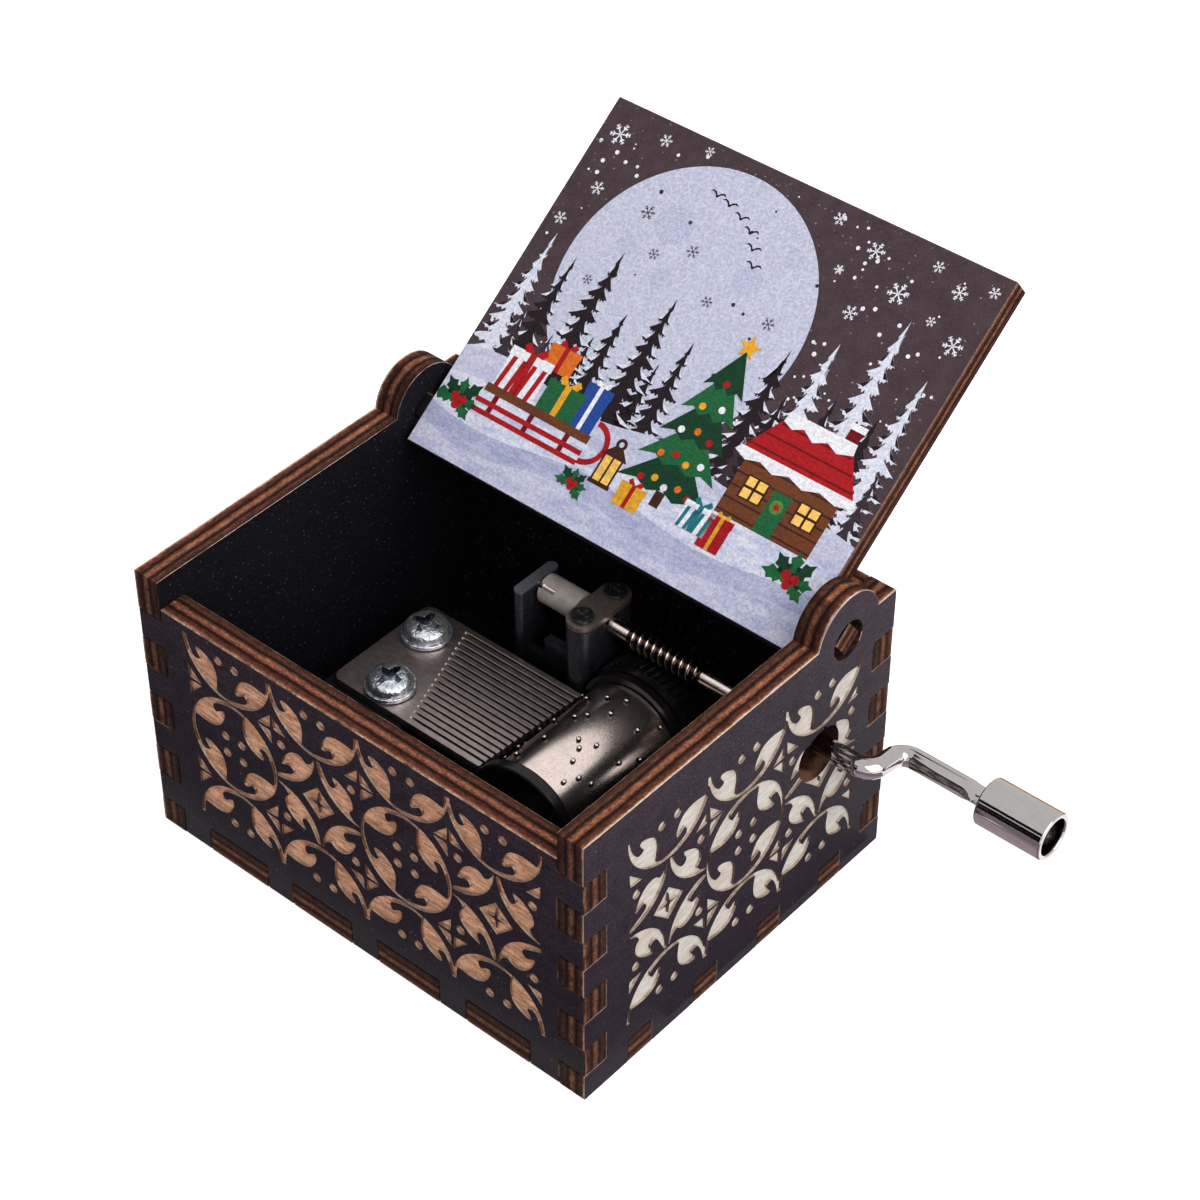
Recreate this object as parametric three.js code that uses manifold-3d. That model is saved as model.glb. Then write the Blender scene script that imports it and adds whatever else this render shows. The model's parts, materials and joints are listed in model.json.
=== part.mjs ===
// Hand crank music box: a finger-jointed plywood case with a comb and pinned-cylinder movement.
// Millimetres, +Z up. The origin is the middle of the case's underside. The crank is on +X and the
// lid's hinge is at the back, +Y. The lid stands open against the back wall.

import * as THREE from 'three';
import { mergeVertices } from 'three/addons/utils/BufferGeometryUtils.js';
import Module from 'manifold-3d';

// The case's panels
const caseWidth = 64.4;
const caseDepth = 51.2;
const sideWallHeight = 38;
const frontWallDrop = 3.7;
const wallThickness = 3.5;
const floorThickness = 3.4;
const jointGap = 0.1;

// Finger joints at the corners and the floor's tabs
const lowestFingerShare = 0.096;
const fingerShare = 0.1087;
const wallFingerCount = 4;
const frontTabShare = 0.14;
const frontTabPitchShare = 0.205;
const sideTabShare = 0.074;
const sideTabPitchShare = 0.215;
const tabCount = 4;

// The hinge: round ears on the side walls, with holes for the lid's pegs
const hingeInset = 8.4;
const hingeDrop = 1.55;
const hingeHoleRadius = 2.45;
const earRadius = 5.25;
const earRise = 0.75;

// The lid
const lidThickness = 3;
const lidFrontInset = 0.4;
const lidTail = 4.5;
const lidSideGap = 0.6;
const lidRestGap = 0.2;
const pegInset = 0.1;

// The cylinder, its place in the case and its end pieces
const cylinderPlaceShare = 0.352;
const cylinderHeight = 9.9;
const barrelRadius = 6.5;
const barrelWall = 0.6;
const barrelInset = 4.85;
const barrelMargin = 0.9;
const pinRadius = 0.26;
const pinHeight = 0.55;
const pinRoot = 0.3;
const hubDepth = 1.6;
const hubGap = 0.1;
const capRadius = 7.4;
const capThickness = 1.7;
const capChamfer = 0.3;
const endPieceGap = 0.1;
const arborRadius = 0.75;
const arborOverhang = 0.2;
const boreGap = 0.07;

// The worm wheel and the worm
const wormPitch = 1;
const wheelTeeth = 48;
const shaftRadius = 1;
const threadHeight = 0.5;
const threadRootWidth = 0.52;
const threadCrestWidth = 0.24;
const wormLength = 12;
const meshGap = 0.12;
const toothRootShare = 0.5;
const toothTipShare = 0.28;
const wheelRimWidth = 5;
const flangeRadius = 7.45;
const flangeThickness = 0.8;
const grooveDepth = 0.65;
const grooveWidth = 0.5;
const collarRadius = 7.3;
const collarThickness = 1;

// The shaft's ends and the sleeve on it
const shaftInset = 7.35;
const journalRadius = 0.65;
const journalLength = 2.2;
const journalInset = 0.2;
const socketRadius = 1.95;
const socketLength = 6.4;
const socketDepth = 4.9;
const socketWallGap = 0.8;
const sleeveRadius = 1.85;
const sleeveLength = 5.5;
const sleeveGap = 0.3;
const sleeveSlotWidth = 0.6;
const sleeveSlotLength = 2.2;

// The comb and its screws
const toothCount = 18;
const combThickness = 1;
const combRise = 1.8;
const combWidth = 16.3;
const combReach = 7.2;
const combRake = 1;
const toothSlot = 0.3;
const combLengthShare = 0.54;
const longToothShare = 0.731;
const shortToothShare = 0.454;
const combCornerRadius = 1.3;
const frontScrewInset = 6.5;
const frontScrewShift = -5.2;
const backScrewInset = 3.5;
const backScrewShift = 4.05;
const combScrewRadius = 1.2;
const combScrewDepth = 6.5;
const screwHoleGap = 0.25;
const headRadius = 3.05;
const headRimHeight = 0.5;
const headStep = 0.25;
const headDome = 1.5;
const crossWidth = 0.85;
const crossLength = 3.4;
const crossDepth = 0.9;

// The cast frame
const seatGap = 0.1;
const plateThickness = 2;
const plateMargin = 1.5;
const plateInset = 8.5;
const plateOverhang = 0.4;
const lugHalfWidth = 2.6;
const lugThickness = 1.7;
const lugGap = 0.35;
const landMargin = 0.9;
const landInset = 0.7;
const pillarInset = 9.15;
const pillarWidth = 3.9;
const pillarLength = 9.4;
const wheelClearance = 0.4;
const postInset = 18.35;
const postWidth = 1.5;
const postLength = 6.9;
const postRise = 1.05;
const webInset = 3.25;
const webThickness = 1.1;
const webDrop = 4.3;
const webStep = 3;
const webStepLength = 3.75;
const bossRadius = 2.2;
const bossHeight = 3;

// The strap over the shaft
const strapThickness = 0.7;
const strapScrewPitch = 5.7;
const strapScrewRadius = 0.75;
const strapScrewDepth = 3.4;
const strapHeadRadius = 1.35;
const strapHeadHeight = 0.45;
const strapCrossWidth = 0.4;
const strapCrossLength = 1.7;
const strapCrossDepth = 0.25;

// The screws from below
const baseScrewInset = 2;
const baseScrewShift = -5.8;
const innerScrewInset = 4;
const innerScrewShift = -7.3;
const baseScrewRadius = 1.1;
const baseScrewLength = 7.6;
const baseHeadRadius = 2.3;
const baseHeadHeight = 1.2;
const baseHeadInset = 0.2;
const countersinkGap = 0.25;

// The crank and its knob
const crankHoleRadius = 3.55;
const crankHoleShift = -1.25;
const rodRadius = 1.25;
const crankArmReach = 5.7;
const crankThrow = 6.02;
const crankTiltDegrees = -11.7;
const bendRadius = 1.9;
const knobReach = 11.5;
const knobLength = 8.55;
const knobRadius = 2.9;
const knobChamfer = 0.25;
const knobBoreGap = 0.08;
const knobSeatLength = 4.3;
const knobRecessRadius = 2.2;
const knobPlay = 0.3;
const rodHeadRadius = 1.8;
const rodHeadLength = 0.6;
const crimpLength = 0.9;
const crimpWidthShare = 1.36;
const crimpHeightShare = 0.5;

// How far a cutting body runs past the face that it cuts
const overrun = 1;

// Steps in round shapes, which are counts
const roundSteps = 40;
const smallSteps = 20;
const rodSteps = 16;
const bendSteps = 6;
const threadSteps = 18;
const pinSides = 6;

// Places that follow from the sizes
const innerX = caseWidth / 2 - wallThickness;
const innerY = caseDepth / 2 - wallThickness;
const frontWallHeight = sideWallHeight - frontWallDrop;
const lowestFingerHeight = sideWallHeight * lowestFingerShare;
const fingerHeight = sideWallHeight * fingerShare;
const frontTabWidth = caseWidth * frontTabShare;
const frontTabPitch = caseWidth * frontTabPitchShare;
const sideTabWidth = caseDepth * sideTabShare;
const sideTabPitch = caseDepth * sideTabPitchShare;
const hingeY = caseDepth / 2 - hingeInset;
const hingeZ = sideWallHeight - hingeDrop;
const lidReach = hingeY + caseDepth / 2 - lidFrontInset;
const seatZ = floorThickness + seatGap;
const plateTop = seatZ + plateThickness;
const shaftY = innerY - shaftInset;
const cylinderX = innerX * (1 - 2 * cylinderPlaceShare);
const cylinderZ = seatZ + cylinderHeight;
const barrelBack = shaftY - barrelInset;
const barrelLength = combWidth + barrelMargin;
const barrelFront = barrelBack - barrelLength;
const combLeft = cylinderX - 2 * innerX * combLengthShare;
const combTop = cylinderZ + combRise;
const combUnder = combTop - combThickness;
const combSpan = cylinderX - combReach - combLeft;
const longToothLength = combSpan * longToothShare;
const shortToothLength = combSpan * shortToothShare;
const combCentreY = barrelFront + barrelLength / 2;
const wheelPitchRadius = (wormPitch * wheelTeeth) / (2 * Math.PI);
const threadRadius = shaftRadius + threadHeight;
const shaftZ = cylinderZ + wheelPitchRadius + (shaftRadius + threadRadius) / 2;
const wheelTipRadius = shaftZ - cylinderZ - shaftRadius - meshGap;
const wheelRootRadius = shaftZ - cylinderZ - threadRadius - meshGap;
const rimFront = shaftY - wheelRimWidth / 2;
const rimBack = shaftY + wheelRimWidth / 2;
const capFront = barrelFront - endPieceGap - capThickness;
const frontLugBack = capFront - lugGap;
const backLugFront = rimBack + lugGap;
const strapUnder = shaftZ + shaftRadius + boreGap;
const socketEnd = innerX - socketWallGap;
const plateLeft = combLeft - plateMargin;
const plateRight = cylinderX - plateInset;
const plateFront = frontLugBack - lugThickness - plateOverhang;
const plateBack = backLugFront + lugThickness + plateOverhang;
const pillarX = cylinderX - pillarInset;
const postX = cylinderX - postInset;
const baseScrewPlaces = [
  [combLeft + baseScrewInset, combCentreY + baseScrewShift],
  [combLeft + baseScrewInset, shaftY],
  [plateRight - innerScrewInset, combCentreY + innerScrewShift],
];
const crankArmX = caseWidth / 2 + crankArmReach;
const knobStart = crankArmX + knobReach;

const wasm = await Module();
wasm.setup();

// Solids from three.js geometry, and back

function toSolid(geometry) {
  const bare = geometry.clone();
  bare.deleteAttribute('normal');
  bare.deleteAttribute('uv');
  const merged = mergeVertices(bare);
  const vertProperties = new Float32Array(merged.attributes.position.array);
  const triVerts = new Uint32Array(merged.index.array);
  return new wasm.Manifold(new wasm.Mesh({ numProp: 3, vertProperties, triVerts }));
}

function toGeometry(solid) {
  const mesh = solid.getMesh();
  const geometry = new THREE.BufferGeometry();
  geometry.setAttribute('position', new THREE.BufferAttribute(mesh.vertProperties, mesh.numProp));
  geometry.setIndex(new THREE.BufferAttribute(mesh.triVerts, 1));
  geometry.computeVertexNormals();
  return geometry;
}

function joined(first, ...others) {
  return others.reduce((whole, next) => whole.add(next), first);
}

function cut(first, ...others) {
  return others.reduce((whole, next) => whole.subtract(next), first);
}

function block(x0, x1, y0, y1, z0, z1) {
  const geometry = new THREE.BoxGeometry(x1 - x0, y1 - y0, z1 - z0);
  geometry.translate((x0 + x1) / 2, (y0 + y1) / 2, (z0 + z1) / 2);
  return toSolid(geometry);
}

// Round bars along each axis, from one place to the other

function barGeometry(radius, length, steps) {
  return new THREE.CylinderGeometry(radius, radius, length, steps);
}

function barX(radius, x0, x1, y, z, steps = roundSteps) {
  const geometry = barGeometry(radius, x1 - x0, steps);
  geometry.rotateZ(-Math.PI / 2);
  geometry.translate((x0 + x1) / 2, y, z);
  return toSolid(geometry);
}

function barY(radius, y0, y1, x, z, steps = roundSteps) {
  const geometry = barGeometry(radius, y1 - y0, steps);
  geometry.translate(x, (y0 + y1) / 2, z);
  return toSolid(geometry);
}

function barZ(radius, z0, z1, x, y, steps = roundSteps) {
  const geometry = barGeometry(radius, z1 - z0, steps);
  geometry.rotateX(Math.PI / 2);
  geometry.translate(x, y, (z0 + z1) / 2);
  return toSolid(geometry);
}

// Turned bodies: the profile is a list of [radius, place along the axis]

function turned(profile, steps) {
  const points = profile.map(([radius, along]) => new THREE.Vector2(radius, along));
  return new THREE.LatheGeometry(points, steps);
}

function turnedZ(profile, x, y, steps = roundSteps) {
  const geometry = turned(profile, steps);
  geometry.rotateX(Math.PI / 2);
  geometry.translate(x, y, 0);
  return toSolid(geometry);
}

function turnedY(profile, x, z, steps = roundSteps) {
  const geometry = turned(profile, steps);
  geometry.translate(x, 0, z);
  return toSolid(geometry);
}

function turnedX(profile, y, z, steps = roundSteps) {
  const geometry = turned(profile, steps);
  geometry.rotateZ(-Math.PI / 2);
  geometry.translate(0, y, z);
  return toSolid(geometry);
}

function extrudedUp(shape, z0, z1) {
  const options = { depth: z1 - z0, bevelEnabled: false, curveSegments: smallSteps / 2 };
  const geometry = new THREE.ExtrudeGeometry(shape, options);
  geometry.translate(0, 0, z0);
  return toSolid(geometry);
}

// A strip with round ends, its length along Y
function roundEndedShape(centreX, centreY, width, length) {
  const radius = width / 2;
  const straight = length / 2 - radius;
  const shape = new THREE.Shape();
  shape.absarc(centreX, centreY + straight, radius, 0, Math.PI);
  shape.absarc(centreX, centreY - straight, radius, Math.PI, 2 * Math.PI);
  shape.closePath();
  return shape;
}

// The case

// Heights of the front and back walls' fingers at a corner
function wallFingers() {
  return Array.from({ length: wallFingerCount }, (_, index) => {
    const z0 = lowestFingerHeight + 2 * index * fingerHeight;
    return [z0, z0 + fingerHeight];
  });
}

// Heights of the side walls' fingers between them, the top one up to the wall's top
function sideFingers() {
  const seams = wallFingers();
  const lows = [0, ...seams.map(([, z1]) => z1)];
  const highs = [...seams.map(([z0]) => z0), sideWallHeight];
  return lows.map((low, index) => [low, highs[index]]);
}

function tabPlaces(pitch) {
  return Array.from({ length: tabCount }, (_, index) => (index - (tabCount - 1) / 2) * pitch);
}

// A wall across the front or back; side is -1 at the front and 1 at the back
function crossWall(side, height) {
  const outer = (side * caseDepth) / 2;
  const inner = side * innerY;
  const y0 = Math.min(outer, inner);
  const y1 = Math.max(outer, inner);
  const cuts = [];
  for (const end of [-1, 1]) {
    const near = end * (innerX - jointGap);
    const far = end * (caseWidth / 2 + overrun);
    for (const [z0, z1] of sideFingers()) {
      const low = z0 > 0 ? z0 - jointGap / 2 : z0 - overrun;
      const high = z1 < sideWallHeight ? z1 + jointGap / 2 : z1 + overrun;
      cuts.push(block(Math.min(near, far), Math.max(near, far), y0 - overrun, y1 + overrun, low, high));
    }
  }
  for (const place of tabPlaces(frontTabPitch)) {
    const half = frontTabWidth / 2 + jointGap;
    const notchTop = floorThickness + jointGap;
    cuts.push(block(place - half, place + half, y0 - overrun, y1 + overrun, -overrun, notchTop));
  }
  return cut(block(-caseWidth / 2, caseWidth / 2, y0, y1, 0, height), ...cuts);
}

// A wall at the left or right, with its hinge ear; side is -1 at the left and 1 at the right
function sideWall(side, holes) {
  const outer = (side * caseWidth) / 2;
  const inner = side * innerX;
  const x0 = Math.min(outer, inner);
  const x1 = Math.max(outer, inner);
  const panel = block(x0, x1, -caseDepth / 2, caseDepth / 2, 0, sideWallHeight);
  const ear = barX(earRadius, x0, x1, hingeY, hingeZ + earRise);
  const cuts = [barX(hingeHoleRadius, x0 - overrun, x1 + overrun, hingeY, hingeZ)];
  for (const end of [-1, 1]) {
    const near = end * (innerY - jointGap);
    const far = end * (caseDepth / 2 + overrun);
    for (const [z0, z1] of wallFingers()) {
      const low = z0 - jointGap / 2;
      const high = z1 + jointGap / 2;
      cuts.push(block(x0 - overrun, x1 + overrun, Math.min(near, far), Math.max(near, far), low, high));
    }
  }
  for (const place of tabPlaces(sideTabPitch)) {
    const half = sideTabWidth / 2 + jointGap;
    const notchTop = floorThickness + jointGap;
    cuts.push(block(x0 - overrun, x1 + overrun, place - half, place + half, -overrun, notchTop));
  }
  for (const [radius, y, z] of holes) cuts.push(barX(radius, x0 - overrun, x1 + overrun, y, z));
  return cut(joined(panel, ear), ...cuts);
}

function bottomPanel() {
  const halfX = innerX - jointGap;
  const halfY = innerY - jointGap;
  let panel = block(-halfX, halfX, -halfY, halfY, 0, floorThickness);
  for (const place of tabPlaces(frontTabPitch)) {
    const half = frontTabWidth / 2;
    panel = panel.add(block(place - half, place + half, -caseDepth / 2, caseDepth / 2, 0, floorThickness));
  }
  for (const place of tabPlaces(sideTabPitch)) {
    const half = sideTabWidth / 2;
    panel = panel.add(block(-caseWidth / 2, caseWidth / 2, place - half, place + half, 0, floorThickness));
  }
  const hole = baseScrewRadius + screwHoleGap;
  const sink = baseHeadRadius + countersinkGap;
  const sinkTop = baseHeadInset + baseHeadHeight;
  for (const [x, y] of baseScrewPlaces) {
    const profile = [[0, -overrun], [sink, -overrun], [sink, baseHeadInset], [hole, sinkTop],
      [hole, floorThickness + overrun], [0, floorThickness + overrun]];
    panel = panel.subtract(turnedZ(profile, x, y, smallSteps));
  }
  return panel;
}

// The lid lies along its own +Y from the hinge axis, with its picture side on its own +Z
function lidPanel() {
  const half = innerX - lidSideGap;
  const peg = caseWidth / 2 - pegInset;
  const panel = block(-half, half, -lidTail, lidReach, -lidThickness / 2, lidThickness / 2);
  const pegs = block(-peg, peg, -lidThickness / 2, lidThickness / 2, -lidThickness / 2, lidThickness / 2);
  return panel.add(pegs);
}

// The lid's back rests on the back wall's inner top edge
function lidOpenAngle() {
  const stopY = innerY - hingeY;
  const stopZ = sideWallHeight - hingeZ;
  const lean = Math.asin((lidThickness / 2 + lidRestGap) / Math.hypot(stopY, stopZ));
  return lean + Math.atan2(stopZ, stopY);
}

// The cylinder

// The tune: a row for each tooth from the front, with the shares of a turn where it is plucked.
// Share zero is at the top, and the shares grow towards +X.
const pluckShares = [
  [0.233, 0.45, 0.683], [0.083, 0.367, 0.6, 0.908], [0.183, 0.5, 0.817], [0.1, 0.3, 0.65, 0.867],
  [0.055, 0.133, 0.4, 0.75], [0.25, 0.55, 0.933], [0.038, 0.333, 0.617, 0.8],
  [0.017, 0.2, 0.467, 0.717], [0.062, 0.283, 0.567, 0.833], [0.137, 0.417, 0.667, 0.883],
  [0.233, 0.517, 0.767, 0.945], [0.317, 0.6, 0.972], [0.167, 0.433, 0.7], [0.017, 0.367, 0.55, 0.783],
  [0.1, 0.267, 0.633, 0.907], [0.2, 0.483, 0.733, 0.967], [0.017, 0.317, 0.583, 0.833],
  [0.133, 0.4, 0.683],
];

function toothPitch() {
  return combWidth / toothCount;
}

function toothCentre(tooth) {
  return combCentreY - combWidth / 2 + (tooth + 0.5) * toothPitch();
}

function barrelPin(tooth, turnShare) {
  const angle = turnShare * 2 * Math.PI;
  const low = barrelRadius - pinRoot;
  const high = barrelRadius + pinHeight;
  const geometry = barGeometry(pinRadius, high - low, pinSides);
  geometry.rotateX(Math.PI / 2);
  geometry.translate(0, toothCentre(tooth), (low + high) / 2);
  geometry.rotateY(angle);
  geometry.translate(cylinderX, 0, cylinderZ);
  return toSolid(geometry);
}

function pinnedCylinder() {
  const inner = barrelRadius - barrelWall;
  const outer = barrelRadius;
  const profile = [[inner, barrelFront], [outer, barrelFront], [outer, barrelBack], [inner, barrelBack],
    [inner, barrelFront]];
  let barrel = turnedY(profile, cylinderX, cylinderZ, wheelTeeth);
  pluckShares.forEach((turnShares, tooth) => {
    for (const turnShare of turnShares) barrel = barrel.add(barrelPin(tooth, turnShare));
  });
  return barrel;
}

function cylinderFrontCap() {
  const bore = arborRadius + boreGap;
  const hub = barrelRadius - barrelWall - hubGap;
  const back = barrelFront - endPieceGap;
  const rim = capRadius - capChamfer;
  const profile = [[bore, capFront], [rim, capFront], [capRadius, capFront + capChamfer],
    [capRadius, back - capChamfer], [rim, back], [hub, back], [hub, barrelFront + hubDepth],
    [bore, barrelFront + hubDepth], [bore, capFront]];
  return turnedY(profile, cylinderX, cylinderZ);
}

// The wheel's teeth lean with the worm's thread. A gap is at the top, under the worm's middle.
function wheelRim() {
  const pitchAngle = (2 * Math.PI) / wheelTeeth;
  const shape = new THREE.Shape();
  for (let tooth = 0; tooth < wheelTeeth; tooth += 1) {
    const centre = (tooth + 0.5) * pitchAngle;
    const corners = [[wheelRootRadius, -toothRootShare / 2], [wheelTipRadius, -toothTipShare / 2],
      [wheelTipRadius, toothTipShare / 2], [wheelRootRadius, toothRootShare / 2]];
    for (const [radius, share] of corners) {
      const angle = centre + share * pitchAngle;
      const x = radius * Math.sin(angle);
      const z = radius * Math.cos(angle);
      if (tooth === 0 && share === -toothRootShare / 2) shape.moveTo(x, z);
      else shape.lineTo(x, z);
    }
  }
  shape.closePath();
  const geometry = new THREE.ExtrudeGeometry(shape, { depth: wheelRimWidth, bevelEnabled: false });
  geometry.translate(0, 0, -wheelRimWidth / 2);
  const position = geometry.attributes.position;
  const lead = wormPitch / (Math.PI * (shaftRadius + threadRadius));
  for (let index = 0; index < position.count; index += 1) {
    const along = -position.getZ(index);
    const turn = (along * lead) / wheelPitchRadius;
    const x = position.getX(index) * Math.cos(turn) + position.getY(index) * Math.sin(turn);
    const z = position.getY(index) * Math.cos(turn) - position.getX(index) * Math.sin(turn);
    position.setXYZ(index, cylinderX + x, shaftY + along, cylinderZ + z);
  }
  return toSolid(geometry);
}

function wormWheel() {
  const bore = arborRadius + boreGap;
  const hub = barrelRadius - barrelWall - hubGap;
  const front = barrelBack + endPieceGap;
  const flangeBack = front + flangeThickness;
  const grooveBack = flangeBack + grooveWidth;
  const groove = flangeRadius - grooveDepth;
  const core = (hub + wheelRootRadius) / 2;
  const profile = [[bore, barrelBack - hubDepth], [hub, barrelBack - hubDepth], [hub, front],
    [flangeRadius, front], [flangeRadius, flangeBack], [groove, flangeBack], [groove, grooveBack],
    [collarRadius, grooveBack], [collarRadius, grooveBack + collarThickness],
    [core, grooveBack + collarThickness], [core, rimBack], [bore, rimBack], [bore, barrelBack - hubDepth]];
  const body = turnedY(profile, cylinderX, cylinderZ);
  const bar = barY(bore, rimFront - overrun, rimBack + overrun, cylinderX, cylinderZ, roundSteps);
  return body.add(wheelRim()).subtract(bar);
}

function cylinderArbor() {
  const front = frontLugBack - lugThickness - arborOverhang;
  const back = backLugFront + lugThickness + arborOverhang;
  return barY(arborRadius, front, back, cylinderX, cylinderZ, smallSteps);
}

// The worm shaft

// The thread is one ridge swept round the shaft; its crest is at the bottom in the wheel's plane
function wormThread() {
  const turns = wormLength / wormPitch;
  const stepCount = Math.round(turns * threadSteps);
  const root = shaftRadius - threadHeight / 2;
  const widen = threadRootWidth - threadCrestWidth;
  const buriedWidth = threadRootWidth + (widen * (shaftRadius - root)) / threadHeight;
  const section = [[root, -buriedWidth / 2], [threadRadius, -threadCrestWidth / 2],
    [threadRadius, threadCrestWidth / 2], [root, buriedWidth / 2]];
  const vertices = [];
  const faces = [];
  for (let step = 0; step <= stepCount; step += 1) {
    const turn = step / threadSteps - turns / 2;
    const angle = 2 * Math.PI * turn - Math.PI / 2;
    for (const [radius, shift] of section) {
      const x = cylinderX + turn * wormPitch + shift;
      vertices.push(x, shaftY + radius * Math.cos(angle), shaftZ + radius * Math.sin(angle));
    }
  }
  const corners = section.length;
  for (let step = 0; step < stepCount; step += 1) {
    for (let corner = 0; corner < corners; corner += 1) {
      const a = step * corners + corner;
      const b = step * corners + ((corner + 1) % corners);
      faces.push(a, a + corners, b, b, a + corners, b + corners);
    }
  }
  const last = stepCount * corners;
  faces.push(0, 1, 2, 0, 2, 3);
  faces.push(last, last + 2, last + 1, last, last + 3, last + 2);
  const geometry = new THREE.BufferGeometry();
  geometry.setAttribute('position', new THREE.Float32BufferAttribute(vertices, 3));
  geometry.setIndex(faces);
  return toSolid(geometry);
}

function wormShaft() {
  const journalTip = postX - postWidth / 2 - journalInset;
  const shoulder = journalTip + journalLength;
  const socketStart = socketEnd - socketLength;
  const socketBore = rodRadius + boreGap;
  const profile = [[0, journalTip], [journalRadius, journalTip], [journalRadius, shoulder],
    [shaftRadius, shoulder], [shaftRadius, socketStart], [socketRadius, socketStart],
    [socketRadius, socketEnd], [socketBore, socketEnd], [socketBore, socketEnd - socketDepth],
    [0, socketEnd - socketDepth]];
  return turnedX(profile, shaftY, shaftZ, smallSteps).add(wormThread());
}

function spacerSleeve() {
  const end = pillarX - pillarWidth / 2 - sleeveGap;
  const start = end - sleeveLength;
  const bore = shaftRadius + boreGap;
  const profile = [[bore, start], [sleeveRadius, start], [sleeveRadius, end], [bore, end], [bore, start]];
  const slot = new THREE.BoxGeometry(sleeveSlotLength, sleeveSlotWidth, sleeveRadius + overrun);
  slot.translate(start + sleeveSlotLength / 2, 0, (sleeveRadius + overrun) / 2);
  slot.rotateX(Math.PI / 4);
  slot.translate(0, shaftY, shaftZ);
  return turnedX(profile, shaftY, shaftZ, smallSteps).subtract(toSolid(slot));
}

// The comb

function combPlate() {
  const low = combCentreY - combWidth / 2;
  const high = combCentreY + combWidth / 2;
  const tipBack = cylinderX - combReach;
  const tipAt = (y) => tipBack - (combRake * (high - y)) / combWidth;
  const rootAt = (y) => {
    const share = (y - low) / combWidth;
    return tipAt(y) - shortToothLength - (longToothLength - shortToothLength) * share;
  };
  const shape = new THREE.Shape();
  const radius = combCornerRadius;
  shape.moveTo(combLeft + radius, low);
  for (let tooth = 0; tooth < toothCount; tooth += 1) {
    const y0 = tooth === 0 ? low : low + tooth * toothPitch() + toothSlot / 2;
    const y1 = tooth === toothCount - 1 ? high : low + (tooth + 1) * toothPitch() - toothSlot / 2;
    shape.lineTo(tipAt(y0), y0);
    shape.lineTo(tipAt(y1), y1);
    if (tooth < toothCount - 1) {
      shape.lineTo(rootAt(y1), y1);
      shape.lineTo(rootAt(y1 + toothSlot), y1 + toothSlot);
    }
  }
  shape.lineTo(combLeft + radius, high);
  shape.absarc(combLeft + radius, high - radius, radius, Math.PI / 2, Math.PI);
  shape.absarc(combLeft + radius, low + radius, radius, Math.PI, 1.5 * Math.PI);
  const plate = extrudedUp(shape, combUnder, combTop);
  const hole = combScrewRadius + screwHoleGap;
  const holes = combScrewPlaces().map(([x, y]) => (
    barZ(hole, combUnder - overrun, combTop + overrun, x, y, smallSteps)));
  return cut(plate, ...holes);
}

function combScrewPlaces() {
  return [
    [combLeft + frontScrewInset, combCentreY + frontScrewShift],
    [combLeft + backScrewInset, combCentreY + backScrewShift],
  ];
}

function crossRecess(x, y, z0, z1, width, length) {
  return joined(
    block(x - length / 2, x + length / 2, y - width / 2, y + width / 2, z0, z1),
    block(x - width / 2, x + width / 2, y - length / 2, y + length / 2, z0, z1),
  );
}

function combScrew([x, y]) {
  const rimTop = combTop + seatGap + headRimHeight;
  const domeRadius = headRadius - headStep;
  const profile = [[0, combTop - combScrewDepth], [combScrewRadius, combTop - combScrewDepth],
    [combScrewRadius, combTop + seatGap], [headRadius, combTop + seatGap], [headRadius, rimTop],
    [domeRadius, rimTop]];
  const domeSteps = 6;
  for (let step = 1; step <= domeSteps; step += 1) {
    const angle = (step / domeSteps) * (Math.PI / 2);
    profile.push([domeRadius * Math.cos(angle), rimTop + headDome * Math.sin(angle)]);
  }
  profile[profile.length - 1][0] = 0;
  const head = turnedZ(profile, x, y, smallSteps);
  const headTop = rimTop + headDome;
  return head.subtract(crossRecess(x, y, headTop - crossDepth, headTop + overrun, crossWidth, crossLength));
}

// The frame

function lug(y0, y1) {
  const post = block(cylinderX - lugHalfWidth, cylinderX + lugHalfWidth, y0, y1, seatZ, cylinderZ);
  const head = barY(lugHalfWidth, y0, y1, cylinderX, cylinderZ, smallSteps);
  const arm = block(plateRight - overrun, cylinderX + lugHalfWidth, y0, y1, seatZ, plateTop);
  return joined(post, head, arm);
}

function combLand() {
  const low = combCentreY - combWidth / 2 - landMargin;
  const high = combCentreY + combWidth / 2 + landMargin;
  const left = combLeft - landMargin;
  const tipBack = cylinderX - combReach;
  const shape = new THREE.Shape();
  shape.moveTo(left, low);
  shape.lineTo(tipBack - combRake - shortToothLength - landInset, low);
  shape.lineTo(tipBack - longToothLength - landInset, high);
  shape.lineTo(left, high);
  shape.closePath();
  return extrudedUp(shape, seatZ, combUnder - seatGap);
}

function strapScrewPlaces() {
  return [-1, 1].map((side) => [pillarX, shaftY + (side * strapScrewPitch) / 2]);
}

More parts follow.
